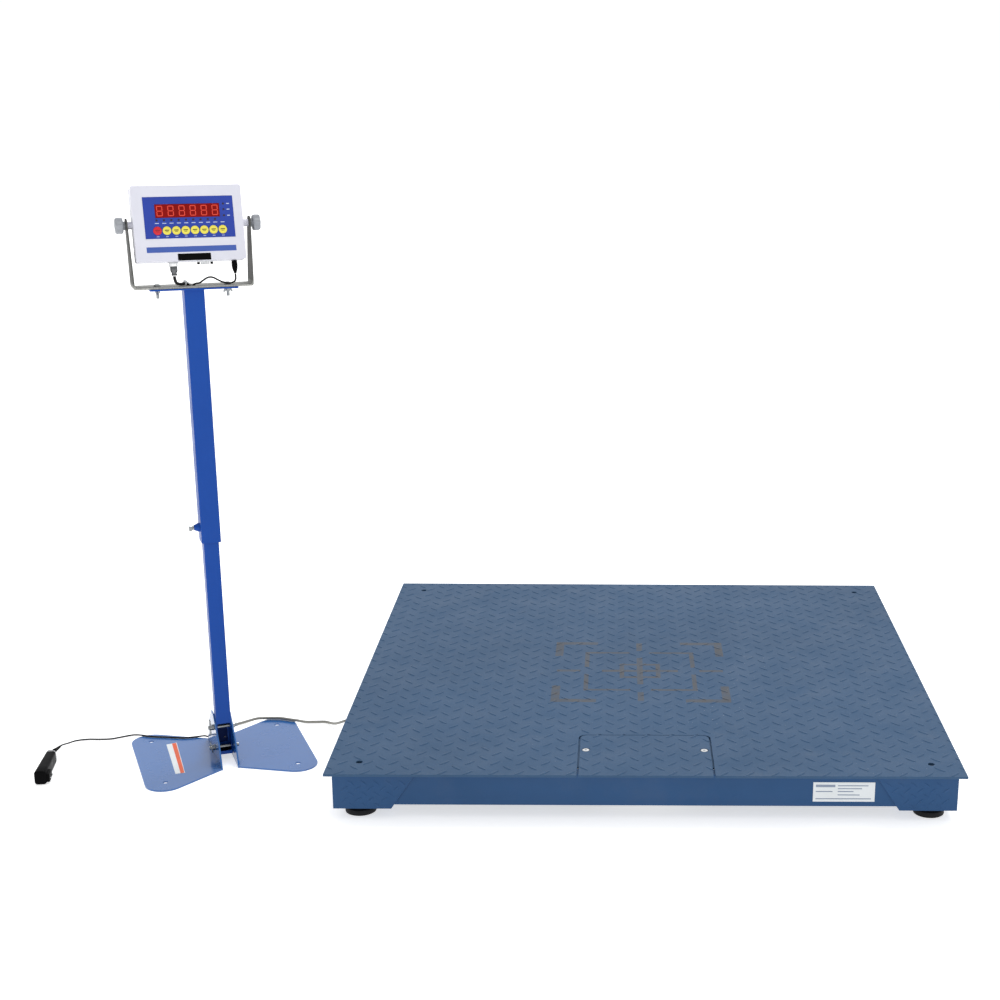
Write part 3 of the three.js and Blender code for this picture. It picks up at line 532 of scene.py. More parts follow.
# --- materials
look = {
    "deck": deck_paint("deck_blue", srgb(52, 81, 112)),
    "frame": paint("frame_blue", srgb(32, 71, 113), 0.5, variation=0.07, dirt=0.1, shine=0.25),
    "stand": paint("stand_blue", srgb(20, 70, 154), 0.34, 0.00002, variation=0.05, dirt=0.02, shine=0.14),
    "plate": paint("plate_blue", srgb(36, 94, 160), 0.24, 0.00002, 0.45, 0.05, 0.02, 0.4),
    "bracket": bracket_steel("bracket_steel", srgb(172, 172, 167)),
    "bolt": zinc("bolt_steel", srgb(140, 143, 144), 0.24),
    "zinc": zinc("zinc_steel"),
    "dark_metal": zinc("dark_metal", srgb(96, 98, 100), 0.2),
    "cell": zinc("cell_steel", srgb(170, 173, 176), 0.4),
    "rubber": moulded("foot_rubber", srgb(22, 22, 24), 0.6, 900, 0.0001, shine=0.2),
    "housing": paint("housing_white", srgb(216, 216, 226), 0.42, peel=0.00003, variation=0.02),
    "overlay": moulded("keypad_film", srgb(40, 64, 158), 0.5, 1800, 0.00002, 0.04, shine=0.3),
    "strip": moulded("strip_blue", srgb(58, 88, 166), 0.5, 1800, 0.00002, 0.04),
    "lens": moulded("display_lens", srgb(132, 12, 8), 0.4, 300, 0.000005, 0.1, shine=0.1),
    "red_key": moulded("red_key", srgb(206, 22, 40), 0.5, 1500, 0.00002, 0.05),
    "yellow_key": moulded("yellow_key", srgb(232, 218, 84), 0.5, 1500, 0.00002, 0.04),
    "key_print": moulded("key_print", srgb(92, 86, 34), 0.5, 1500, 0.00001, 0.06),
    "red_print": moulded("red_print", srgb(150, 10, 24), 0.5, 1500, 0.00001, 0.06),
    "knob": moulded("knob_grey", srgb(150, 153, 158), 0.5, 1200, 0.00008, 0.06, shine=0.3),
    # dark navy, darker than the stand's paint: painted shade for the post's shaded inside
    "slot_shade": moulded("slot_painted_shade", srgb(16, 34, 84), 0.6, 900, 0.0001, shine=0.1),
    "board": moulded("circuit_board", srgb(30, 100, 58), 0.5, 800, 0.00004),
    "junction": moulded("junction_grey", srgb(138, 143, 148), 0.55, 900, 0.00006),
    "black": moulded("black_plastic", srgb(14, 14, 15), 0.4, 1600, 0.00004, 0.15, shine=0.03, tint=0.4),
    "grey_gloss": moulded("grey_gloss", srgb(150, 151, 154), 0.25, 1600, 0.00002, 0.1, coat=0.4),
    "grey_cable": moulded("grey_cable", srgb(136, 134, 126), 0.5, 500, 0.00005, 0.07),
    "black_cable": moulded("black_cable", srgb(20, 20, 21), 0.42, 500, 0.00004, 0.12, shine=0.16),
    "white_print": moulded("white_print", srgb(196, 204, 226), 0.5, 1500, 0.00001, 0.04),
    "grey_print": moulded("grey_print", srgb(130, 142, 160), 0.5, 1500, 0.00001, 0.08),
    "dark_print": moulded("dark_lamp", srgb(30, 10, 44), 0.35, 1500, 0.00001, 0.1),
    "orange_print": moulded("orange_print", srgb(214, 84, 40), 0.5, 1500, 0.00001, 0.06),
    "label": moulded("label_white", srgb(216, 220, 222), 0.45, 900, 0.00002, 0.03),
    "segments": glowing("display_segments", srgb(216, 62, 42), 0.14),
    "silver": zinc("bright_steel", srgb(222, 223, 224), 0.16),
}


# --- cords
def smooth_path(points, steps):
    """A centripetal Catmull-Rom curve through points, as many steps to each stretch as its length needs."""
    p = [Vector(v) for v in points]
    p = [2 * p[0] - p[1], *p, 2 * p[-1] - p[-2]]
    path = [p[1]]
    for i in range(1, len(p) - 2):
        p0, p1, p2, p3 = p[i - 1:i + 3]
        t = [0.0]
        for a, b in ((p0, p1), (p1, p2), (p2, p3)):
            t.append(t[-1] + max((b - a).length, 1e-9) ** 0.5)
        count = max(2, round((p2 - p1).length / steps))
        for k in range(1, count + 1):
            u = t[1] + (t[2] - t[1]) * k / count

            def between(a, b, i, j):
                return a * (t[j] - u) / (t[j] - t[i]) + b * (u - t[i]) / (t[j] - t[i])
            a1, a2, a3 = between(p0, p1, 0, 1), between(p1, p2, 1, 2), between(p2, p3, 2, 3)
            path.append(between(between(a1, a2, 0, 2), between(a2, a3, 1, 3), 1, 2))
    return path


def tube(path, radius, sides=14):
    bm = bmesh.new()
    rings = []
    tangent = (path[1] - path[0]).normalized()
    side = tangent.orthogonal().normalized()
    for i, point in enumerate(path):
        ahead = path[min(i + 1, len(path) - 1)] - path[max(i - 1, 0)]
        ahead.normalize()
        side = (side - ahead * side.dot(ahead)).normalized()
        up = ahead.cross(side)
        rings.append([bm.verts.new(point + (side * math.cos(a) + up * math.sin(a)) * radius)
                      for a in (2 * math.pi * k / sides for k in range(sides))])
    return bridge(bm, rings)


def from_stand(points):
    return [tuple(PLATFORM.inverted() @ STAND @ Vector(p)) for p in points]


LOAD_CABLE_LOWER = from_stand([
    (4.1, 13.6, 41.8), (4.2, 17.2, 36.4), (4.6, 24, 27), (5, 38, 16), (5, 55, 7.5),
    (6, 75, 3.6), (9, 97, 3.2), (15, 120, 3.2), (28, 143, 3.2), (47, 162, 3.2), (66, 168.7, 3.4),
    (83, 172.5, 4.6), (98, 173, 6.4), (114, 168, 7), (131, 162, 7), (146, 155, 7), (158, 145, 7),
    (168, 136, 7), (178, 130.5, 6), (192, 123.5, 3.6), (213, 115.6, 3.2), (234, 108, 3.2)]) + [
    (-682, -117, 5), (-668, -138, 12), (-655, -158, 22), (-640, -178, 34), (-626, -188, 41.5),
    (-613, -190, 43.8), (-606.8, -190, 44)]
DC_LEAD_LOWER = from_stand([
    (-4.7, 13.6, 39.8), (-4.8, 17.2, 34), (-5, 25, 22), (-5.4, 42, 9),
    (-6, 62, 3), (-8, 84, 1.9), (-11, 100, 2.1), (-16, 112.5, 3.6), (-24, 117.5, 5.2), (-34, 118.5, 5.2),
    (-46, 119, 5.2), (-66, 122.5, 5.2), (-84, 131, 5.2), (-103, 141.5, 5.2), (-119, 149, 5.2),
    (-134, 158, 5.2), (-149, 171, 5)]) + [
    (-1092, -184, 2.4), (-1104, -188, 1.9), (-1118, -196.5, 1.9), (-1134, -205, 1.9), (-1157, -207.5, 1.9),
    (-1180, -207.5, 1.9), (-1195, -212, 2.2), (-1205.5, -223, 4), (-1211, -243, 8), (-1214.3, -262, 12.9),
    (-1215.1, -276.6, 16.6), (-1214.8, -284.4, 17.9)]
LOAD_CABLE_UPPER = [
    (-35, -20.4, 995.1), (-35, -21.3, 990.7), (-32.8, -21.4, 983.4), (-28, -17.8, 980.4), (-22, -12.6, 979.2),
    (-16.8, -6.4, 979.2), (-10.6, -0.2, 978.4), (-6.8, 2.8, 974.4), (-4.8, 3.6, 968), (-4.2, 3.6, 958),
    (-4, 3.6, 938)]
DC_LEAD_UPPER = [
    (79, -19.2, 995.9), (79, -20.1, 991.5), (78.3, -20.9, 984.6), (75.5, -19, 981), (70, -15, 978.2),
    (62.5, -10.4, 978.2), (55, -6.8, 980), (47, -4.4, 984), (40, -3.2, 988), (33.5, -3, 989.3),
    (26.5, -3.2, 987.6), (19.5, -4, 983.4), (12.5, -4.8, 979.4), (6.6, -5, 978.6), (2.2, -4.8, 977),
    (-0.2, -4.5, 971), (-0.5, -4.5, 960), (-0.5, -4.5, 938)]


def make_cord(name, points, matrix, diameter, material, body, step, **facts):
    path = smooth_path(points, step)
    obj = add(name + "_sheath", tube(path, diameter / 2), matrix, body, material, replaces=(name,))
    return obj


make_cord("load_cable_lower", LOAD_CABLE_LOWER, PLATFORM, 5.8, "grey_cable", BASE, 3.0, far_end="object",
          stiffness="medium", lay="loose")
make_cord("dc_lead_lower", DC_LEAD_LOWER, PLATFORM, 3.4, "black_cable", BASE, 2.4, far_end="plug",
          stiffness="medium", lay="loose", with_pieces=["power_adapter"])
upper_load = make_cord("load_cable_upper", LOAD_CABLE_UPPER, STAND, 5.8, "black_cable", None, 1.2,
                       far_end="object", stiffness="medium", lay="loose", with_pieces=["load_cell_plug"])
upper_lead = make_cord("dc_lead_upper", DC_LEAD_UPPER, STAND, 3.4, "black_cable", None, 1.2, far_end="object",
                       stiffness="limp", lay="loose", with_pieces=["dc_plug"])
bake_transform(upper_load)
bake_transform(upper_lead)


# --- platform
DECK_HALF, DECK_TOP, DECK_UNDER = 609.6, 100.0, 95.2
COVER_HALF, COVER_BACK = 128.0, -410.6
NOTCH_HALF, NOTCH_BACK = 131.2, -408.9
SCREWS = ((-116, -485.5), (116, -485.5))
HOLE_AT, FOOT_AT = 549.6, 549.8
HOLES = [(sx * HOLE_AT, sy * HOLE_AT) for sx in (-1, 1) for sy in (-1, 1)]
POD_FACE, BEAM_FACE = -595.6, -592.0


def make_deck():
    """The deck, open at the front, with a ledge welded under the opening, and the flush cover."""
    r = 15.2
    outline = [(-DECK_HALF, -DECK_HALF), (-NOTCH_HALF, -DECK_HALF),
               *arc(-NOTCH_HALF + r, NOTCH_BACK - r, r, 180, 90),
               *arc(NOTCH_HALF - r, NOTCH_BACK - r, r, 90, 0), (NOTCH_HALF, -DECK_HALF),
               (DECK_HALF, -DECK_HALF), (DECK_HALF, DECK_HALF), (-DECK_HALF, DECK_HALF)]
    holes = [circle(6.5, x, y, 36) for x, y in HOLES]
    plate = sheet(outline, holes, DECK_UNDER, DECK_TOP, 0.7)
    ledge = [(-151.9, -560.5), (-104, -560.5), (-104, -430), (104, -430), (104, -560.5), (151.9, -560.5),
             (151.9, -392.2), (-151.9, -392.2)]
    strip = sheet(ledge, [circle(3.2, x, y, 24) for x, y in SCREWS], 92.0, DECK_UNDER - 0.05, 0.4)
    to_platform("deck_sheet", merged(plate, strip), "deck", replaces=("deck_plate",), slot="deck_blue_paint",
                weighted=True)
    r = 14
    outline = [(-COVER_HALF, -DECK_HALF), (COVER_HALF, -DECK_HALF),
               *arc(COVER_HALF - r, COVER_BACK - r, r, 0, 90),
               *arc(-COVER_HALF + r, COVER_BACK - r, r, 90, 180)]
    sinks = [circle(8.3, x, y, 32) for x, y in SCREWS]
    to_platform("cover_sheet", sheet(outline, sinks, 95.6, DECK_TOP, 0.6), "deck",
                replaces=("junction_cover",), slot="deck_blue_paint", weighted=True)


def tread_bar(bm, x, y, angle, clips, turned=None):
    """One raised lens-shaped bar of the tread, cut off at planes. turned puts it on another face."""
    part = bmesh.new()
    length, width, height = 14.0, 3.3, 0.9
    count = 12
    rings = []
    for grow, z in ((1.0, -0.3), (0.9, 0.55), (0.62, height)):
        ring = []
        for i in range(count):
            a = 2 * math.pi * i / count
            u = math.cos(a)
            v = math.copysign(abs(math.sin(a)) ** 1.35, math.sin(a))
            ring.append(part.verts.new((u * length * (0.25 + 0.75 * grow), v * width * grow, z)))
        rings.append(ring)
    bridge(part, rings)
    part.transform((turned or Matrix.Translation((x, y, DECK_TOP))) @ Matrix.Rotation(angle, 4, "Z"))
    for point, normal in clips:
        geometry = part.verts[:] + part.edges[:] + part.faces[:]
        cut = bmesh.ops.bisect_plane(part, geom=geometry, plane_co=point, plane_no=normal, clear_outer=True)
        edges = [e for e in cut["geom_cut"] if isinstance(e, bmesh.types.BMEdge)]
        if edges:
            bmesh.ops.holes_fill(part, edges=edges, sides=0)
    if part.faces:
        mesh = bpy.data.meshes.new("bar")
        part.to_mesh(mesh)
        bm.from_mesh(mesh)
        bpy.data.meshes.remove(mesh)
    part.free()


def make_tread():
    """Bars in two directions, in rows across the plate, cut off at its edges."""
    pitch_x, pitch_y, reach = 48.6, 46.25, 12
    deck, lid = bmesh.new(), bmesh.new()
    edges = [((s * (DECK_HALF - 0.7), 0, 0), (s, 0, 0)) for s in (-1, 1)]
    edges += [((0, 0.7 - DECK_HALF, 0), (0, -1, 0)), ((0, DECK_HALF - 9, 0), (0, 1, 0))]
    for i in range(-14, 15):
        for j in range(-15, 15):
            for shift, angle in ((0.0, -48), (0.5, 48)):
                x, y = 27.2 + (i + shift) * pitch_x, -21.0 + (j - shift) * pitch_y
                over = [(Vector((x, y, 0)) - Vector(p)).dot(n) for p, n in edges]
                if max(over) > reach:
                    continue
                keep_off = [(*hole, 17) for hole in HOLES] + [(*screw, 15) for screw in SCREWS]
                if any((x - cx) ** 2 + (y - cy) ** 2 < r ** 2 for cx, cy, r in keep_off):
                    continue
                cuts = [edge for edge, past in zip(edges, over) if past > -reach - 2]
                turn = math.radians(angle)
                beside, behind = abs(x) - NOTCH_HALF, y - NOTCH_BACK
                if behind > reach or beside > reach:
                    tread_bar(deck, x, y, turn, cuts)
                elif behind < -reach and beside < -reach:
                    tread_bar(lid, x, y, turn, cuts)
                elif not (abs(beside) <= reach + 8 and abs(behind) <= reach + 8):
                    side = math.copysign(1, x)
                    if abs(beside) <= reach:
                        out = ((side * (NOTCH_HALF + 0.7), 0, 0), (-side, 0, 0))
                        into = ((side * (COVER_HALF - 0.7), 0, 0), (side, 0, 0))
                    else:
                        out = ((0, NOTCH_BACK + 0.7, 0), (0, -1, 0))
                        into = ((0, COVER_BACK - 0.7, 0), (0, 1, 0))
                    tread_bar(deck, x, y, turn, [*cuts, out])
                    tread_bar(lid, x, y, turn, [*cuts, into])
    to_platform("deck_tread", deck, "deck", slot="deck_blue_paint", sharp=60)
    to_platform("cover_tread", lid, "deck", slot="deck_blue_paint", sharp=60)


def make_pod_tread():
    """The front pods are folded from the same tread plate."""
    upright, smaller = Matrix.Rotation(math.radians(90), 4, "X"), Matrix.Diagonal((0.62, 0.62, 0.5, 1))
    for name, side in (("left", -1), ("right", 1)):
        bm = bmesh.new()
        for i in range(8):
            for j in range(4):
                for shift, angle in ((0.0, -40), (0.5, 40)):
                    x = side * (584 - (i + shift) * 24.3)
                    z = 30 + (j + shift) * 23
                    if z < 86 and 447 + (z - 23) * -0.6 + 45 < abs(x) < 584:
                        turned = Matrix.Translation((x, POD_FACE, z)) @ upright @ smaller
                        tread_bar(bm, x, 0, math.radians(angle), [], turned)
        to_platform(f"pod_tread_{name}", bm, "frame", slot="frame_blue_paint", sharp=60)


def make_cover_screws():
    for name, (x, y) in zip(("left", "right"), SCREWS):
        head = lathe([(0, 84), (2.6, 84), (2.6, 95.4), (6.9, 99.0), (6.9, 99.5), (6.4, 99.9), (0, 99.9)], "z",
                     (x, y), 36)
        socket = lathe([(0, 97.8), (2.4, 97.8), (2.4, 101), (0, 101)], "z", (x, y), 6)
        to_platform(f"cover_screw_{name}_head", combined(head, [socket], "DIFFERENCE"), "silver",
                    replaces=(f"cover_screw_{name}",), slot="zinc_steel", weighted=True)


def make_feet():
    for name, sx, sy in CORNERS:
        x, y, body = sx * FOOT_AT, sy * FOOT_AT, f"foot_{name}"
        pad = [(0, 0), (28.5, 0), (29.6, 0.4), (30, 1.6), (30, 9.5), (29.2, 10.8), (27.2, 11.4), (25.6, 12.4),
               (23.6, 15.8), (21.8, 17.4), (19.5, 18), (0, 18)]
        to_platform(f"foot_pad_{name}", lathe(pad, "z", (x, y), 48), "rubber", body, replaces=(body,),
                    slot="foot_rubber")
        z = 21.0
        thread = [(0, 18), (8, 18), (8, z)]
        while z < 80:
            thread += [(7.2, z + 0.6), (8, z + 1.5)]
            z += 1.75
        thread += [(7, 82), (0, 82)]
        stud = lathe(thread, "z", (x, y), 24)
        nut = lathe([(8.5, 36.0), (12.2, 36), (13, 36.6), (13, 43.4), (12.2, 44), (8.5, 44)], "z", (x, y), 6)
        for piece, part in (("stud", stud), ("nut", nut)):
            to_platform(f"foot_{piece}_{name}", part, "zinc", body, slot="foot_rubber")


def make_platform():
    make_deck()
    make_tread()
    make_cover_screws()
    for name in ("front_beam", "rear_beam", "left_beam", "right_beam", "inner_rib_left", "inner_rib_right"):
        cad(name, "frame", 0.9)
    for name, sx, sy in CORNERS:
        cad(f"pod_{name}", "frame", 0.8)
        cad(f"load_cell_{name}", "cell", 0.8)
    make_feet()
    cad("junction_box", "junction", 1.5, 3)
    cad("platform_gland", "black", 0.4)
    cad("cell_harness", "grey_cable")
    make_pod_tread()
    label = box((319, 437), (BEAM_FACE, BEAM_FACE + 0.4), (40, 80), 0.1, 1)
    to_platform("data_label", label, "label")
    bars = [((324, 361), (70, 75)), ((366, 424), (72, 74)), ((366, 412), (66, 68)), ((366, 396), (60, 62)),
            ((324, 356), (60, 62)), ((366, 408), (53, 55)), ((324, 430), (45, 47))]
    prints = merged(*[box(x, (BEAM_FACE - 0.15, BEAM_FACE), z) for x, z in bars])
    to_platform("data_label_rules", prints, "grey_print")


make_platform()

# --- stand
BOLT_X = 66  # the bracket's bolts, left and right of the post
STRIP, FLAT_Z, FLAT_HALF = 3, 972.3, 112  # the bracket's strip, the underside of its flat and half its width
BEND_Z, BEND_X = 976.3, 108  # the axes of its two bends


def make_stand():
    for node in ("left_foot_plate", "right_foot_plate"):
        cad(node, "plate", 0.8)
    for node in ("lower_tube", "upper_tube"):
        cad(node, "stand", 0.6, 2, 42)
    cad("mount_plate", "stand", 0.6)
    for node in ("base_bolt_upper", "base_bolt_lower", "height_lock_screw", "bracket_bolt_left",
                 "bracket_bolt_right"):
        cad(node, "bolt", 0.5)
    for name, x, turn in (("left", -BOLT_X, 78), ("right", BOLT_X, 12)):
        hub = lathe([(0, 961.6), (3.6, 961.6), (4.4, 962.4), (4.9, 967.4), (4.9, 968.6), (0, 968.6)], "z",
                    (0, 0), 28)
        wings = [prism([(966.6, s * 3), (967.2, s * 5.2), (963.4, s * 8.6), (959.8, s * 9.4),
                        (959.4, s * 7.4), (962, s * 4.6), (962.4, s * 2.4)], "y", -0.9, 0.9) for s in (-1, 1)]
        nut = merged(hub, *wings)
        nut.transform(Matrix.Translation((x, 0, 0)) @ Matrix.Rotation(math.radians(turn), 4, "Z"))
        to_stand(f"wing_nut_{name}", nut, "bolt", f"bracket_wing_nut_{name}",
                 replaces=(f"bracket_wing_nut_{name}",), slot="zinc_steel")
    # A block filling the post's rear slot, where the lower cords go in; its dark navy is painted shade for
    # the post's inside, seen through the front cut.
    to_stand("cable_slot_shade_block", box((-9.6, 10.1), (12.2, 15.9), (28.9, 59.1), 1.2, 3), "slot_shade")
    cap = box((-12.8, 12.8), (-12.8, 12.8), (12.2, 15.4), 0.6)
    to_stand("tube_end_cap", cap, "black")
    label = prism([(-105.6, 103), (-108.7, -60), (-90, -61), (-84, 106)], "z", 3.0, 3.2)
    to_stand("plate_label", label, "label")
    stripe = prism([(-98.6, -60.4), (-91, -60), (-85.3, 104.6), (-94, 104)], "z", 3.2, 3.32)
    to_stand("plate_label_stripe", stripe, "orange_print")


def bracket_reach(z):
    """Half the bracket's width at a height: its arms lean out by 3 mm up to the tilt axis."""
    return FLAT_HALF + 3 * (z - FLAT_Z) / (TILT_Z - FLAT_Z)


def make_bracket():
    """One bent strip: a U with small bend radii, its arms leaning out a little and rounded at their tops."""
    top, sides = 1104.0, []
    for radius, inset in ((STRIP + 1, 0), (1, STRIP)):
        side = []
        for s in (-1, 1):
            arm = [(z, s * (bracket_reach(z) - inset)) for z in (top, BEND_Z)]
            turn = [math.radians(a) for a in (range(0, 91, 15) if s < 0 else range(90, -1, -15))]
            bend = [(BEND_Z - radius * math.sin(a), s * (BEND_X + radius * math.cos(a))) for a in turn]
            side += (arm + bend) if s < 0 else (bend + arm[::-1])
        sides.append(side)
    strip = prism(sides[0] + sides[1][::-1], "y", -25, 25)
    turn = [0.1 + i * (math.pi - 0.2) / 14 for i in range(15)]
    tip = [(13 * math.cos(a), TILT_Z + 13 * math.sin(a)) for a in turn]
    shape = [(-25, 970), (25, 970), (25, 984.3), *tip, (-25, 984.3)]
    strip = combined(strip, [prism(shape, "x", -130, 130)], "INTERSECT")
    holes = [lathe([(4.5, -130), (4.5, 130)], "x", (0, TILT_Z), 24),
             lathe([(10, 960), (10, 980)], "z", (-4, 0), 32)]
    holes += [lathe([(3.5, 960), (3.5, 980)], "z", (x, 0), 20) for x in (-BOLT_X, BOLT_X)]
    to_stand("bracket", combined(strip, holes, "DIFFERENCE", 0.5), "bracket", MAST, replaces=("u_bracket",),
             weighted=True)


make_stand()
make_bracket()


# --- indicator
WINDOW_FACE, PANEL_FACE, KEY_FACE = -28.01, -28.2, -29.0
ROWS = (33.5, 22.9, 11.6)  # heights of the three lamps beside the display
LAMP_X = [-61 + 13.4 * i for i in range(10)]
MIDDLE_X, MIDDLE_Z = -2.5, -0.5  # the middle of the housing
LOAD_PLUG, LEAD_PLUG, PORT = (-35, -2), (79, -1), (23, -9)  # where the connectors stand under it


def seven_segments(u, w, width=11.2, height=19.2, thick=1.6):
    """All seven strokes of one digit, on the display's face."""
    face, half = (WINDOW_FACE - 0.11, WINDOW_FACE), thick / 2
    left, right = u - width / 2, u + width / 2
    parts = []
    for z in (w - height / 2 + half, w, w + height / 2 - half):
        parts.append(box((left + thick * 0.7, right - thick * 0.7), face, (z - half, z + half)))
    for x in (left + half, right - half):
        for z in (w - height / 4, w + height / 4):
            parts.append(box((x - half, x + half), face,
                             (z - height / 4 + thick * 0.65, z + height / 4 - thick * 0.65)))
    return parts


def dash(u, w, width, height, y=PANEL_FACE, thick=0.12):
    return box((u - width / 2, u + width / 2), (y - thick, y), (w - height / 2, w + height / 2))


def key_x(i):
    """Where key i of the eight stands across the keypad."""
    return -1.1 + (i - 3.5) * 17.13


def make_face():
    cad("housing_front", "housing", 0.7, 3)
    cad("housing_rear", "housing", 0.7, 3)
    cad("keypad_panel", "overlay", 0.15, 1)
    cad("display_window", "lens", 0.3)
    cad("main_board", "board", 0.2)

    digits = [part for i in range(6) for part in seven_segments(-54.2 + 20.3 * i, 22.2)]
    to_indicator("display_digits", merged(*digits), "segments")
    dome = [(0, PANEL_FACE - 0.2), (1.7, PANEL_FACE - 0.2), (2.1, PANEL_FACE), (0, PANEL_FACE)]
    lamps = [(5.1, x) for x in LAMP_X[:9]] + [(w, 63.5) for w in ROWS]
    to_indicator("status_lamps", merged(*[lathe(dome, "y", lamp, 16) for lamp in lamps]), "dark_print")
    marks = [dash(x, -0.4, 7.2, 1.3) for x in LAMP_X]
    marks += [dash(72, w, 5.2, 1.5) for w in ROWS]
    marks += [dash(key_x(i), -24.9, 4.8, 1.0) for i in range(8)]
    to_indicator("overlay_marks", merged(*marks), "white_print")
    to_indicator("lower_strip", dash(-1.5, -48.95, 165, 10.3, -28.0, 0.2), "strip")
    label = prism([(z, x) for x, z in rounded_outline(30.5, 6.4, 1.6, 2, -63.5)], "y", -28.35, -28.0)
    to_indicator("lower_label", label, "black")
    for i in range(8):
        name = f"key_{i + 1}"
        cap = [(0, KEY_FACE), (7.0, KEY_FACE), (7.5, -28.9), (7.8, -28.5), (7.8, -15), (0, -15)]
        mark = merged(dash(key_x(i), -13.3, 8.2, 1.8, KEY_FACE), dash(key_x(i), -16.0, 5.2, 1.0, KEY_FACE))
        key, print_ = ("yellow_key", "key_print") if i else ("red_key", "red_print")
        to_indicator(name + "_cap", lathe(cap, "y", (-14, key_x(i)), 40), key, name, replaces=(name,))
        to_indicator(name + "_mark", mark, print_, name)


def make_housing_trim():
    """The gasket between the two shells, and the screws and blank plate on the rear one."""
    seam = [rounded_outline(z, x, r, MIDDLE_Z, MIDDLE_X) for z, x, r in ((69.65, 101.15, 4.1), (67.5, 99, 3))]
    gasket = sheet(seam[0], seam[1:], 7.5, 8.7)
    gasket.transform(AXES["y"])
    to_indicator("housing_gasket", gasket, "rubber")
    for i, (sx, sz) in enumerate(((-1, -1), (-1, 1), (1, -1), (1, 1))):
        x, z = MIDDLE_X + sx * 81, MIDDLE_Z + sz * 50
        head = lathe([(0, 24.8), (4, 24.8), (4, 26), (3.2, 26.9), (0, 27.1)], "y", (z, x), 32)
        slots = [box((x - a, x + a), (26.2, 28), (z - b, z + b)) for a, b in ((2.4, 0.5), (0.5, 2.4))]
        to_indicator(f"rear_screw_{i + 1}", combined(head, slots, "DIFFERENCE"), "silver", weighted=True)
    to_indicator("rear_plate", box((-38, 33), (24.9, 25.4), (-14, 28), 0.15, 1), "grey_gloss")


def make_ports():
    """The plugs and the sockets under the housing."""
    seat = lathe([(0, -70.0), (9.6, -70.0), (9.6, -71.4), (0, -71.4)][::-1], "z", LOAD_PLUG, 40)
    nut = lathe([(0, -71.4), (8.2, -71.4), (8.7, -72), (8.7, -77.6), (8.0, -78.6), (0, -78.6)][::-1], "z",
                LOAD_PLUG, 72, lambda a: 1 + 0.022 * math.cos(24 * a))
    to_indicator("load_plug_nut", merged(seat, nut), "silver", replaces=("load_cell_plug",),
                 slot="zinc_steel")
    body = lathe([(0, -78.6), (6.3, -78.6), (6.9, -79.4), (6.9, -86), (6.2, -88), (5.0, -89.5), (4.6, -92),
                  (5.4, -92.6), (5.4, -94.6), (4.6, -95.4), (0, -95.4)][::-1], "z", LOAD_PLUG, 40)
    to_indicator("load_plug_body", body, "dark_metal", slot="zinc_steel")
    plug = lathe([(0, -70.2), (4.2, -70.2), (5.2, -71.4), (5.5, -76), (5.5, -82), (4.9, -86.5), (3.6, -90.5),
                  (2.6, -92.8), (2.3, -94.9), (0, -94.9)][::-1], "z", LEAD_PLUG, 36)
    grip = [lathe([(3.2, z - 0.5), (5.85, z - 0.5), (5.85, z + 0.5), (3.2, z + 0.5)], "z", LEAD_PLUG, 36)
            for z in (-75, -77.4, -79.8)]
    to_indicator("lead_plug", merged(plug, *grip), "black", replaces=("dc_plug",))
    shell = prism(rounded_outline(8.2, 3.8, 2.2, *PORT), "z", -77.2, -70.0)
    plate = prism(rounded_outline(14.4, 5.4, 1.2, *PORT), "z", -72.6, -70.0)
    to_indicator("serial_port", merged(shell, plate), "silver")
    posts = [lathe([(0, -76.4), (2.3, -76.4), (2.7, -75.8), (2.7, -72.5), (0, -72.5)], "z", (x, PORT[1]), 6)
             for x in (10.6, 35.4)]
    to_indicator("serial_port_posts", merged(*posts), "black")


def make_knobs():
    """Lobed knobs: a stud through the bracket's arm, a neck, and a scalloped grip with rounded rims."""
    for name, side in (("left", -1), ("right", 1)):
        grip = [(0, 119.8), (11.5, 119.8), (13.6, 120.4), (14.6, 121.8), (14.8, 124), (14.8, 130.5),
                (14.3, 132.6), (13, 133.8), (11, 134.2), (6.4, 134.2), (5.8, 133.4), (0, 133.4)]
        neck = [(0, 88), (3.4, 88), (3.4, 115.4), (7.6, 115.4), (8, 115.8), (8, 120.2), (0, 120.2)]
        lobed = lathe(grip, "x", (0, 0), 96, lambda a: 1 + 0.08 * math.cos(6 * a))
        knob = merged(lobed, lathe(neck, "x"))
        if side < 0:
            knob.transform(Matrix.Rotation(math.pi, 4, "Z"))
        to_indicator(f"tilt_knob_{name}_grip", knob, "knob", f"tilt_knob_{name}",
                     replaces=(f"tilt_knob_{name}",), sharp=50)


def make_tie():
    """A white cable tie on the load cell cable, just before it turns down through the bracket."""
    ring = [(3.7, -2.1), (3.7, 2.1), (3.0, 2.1), (3.0, -2.1)]
    band = lathe(ring + ring[:1], "z", (0, 0), 36)
    for cap in [face for face in band.faces if len(face.verts) > 4]:
        band.faces.remove(cap)
    bmesh.ops.remove_doubles(band, verts=band.verts, dist=1e-5)
    bmesh.ops.recalc_face_normals(band, faces=band.faces)
    lock = box((-2.6, 2.6), (3.2, 6.4), (-2.5, 2.5), 0.5)
    tail = box((-12, -2.4), (4.2, 4.9), (-1.6, 1.6), 0.25)
    tie = merged(band, lock, tail)
    turn = turned_to(Vector((6.2, 6.2, -0.6)).normalized()) @ Matrix.Rotation(math.radians(150), 4, "Z")
    tie.transform(Matrix.Translation((-15.2, -4.8, 979.1)) @ turn)
    to_stand("cable_tie", tie, "label", MAST)


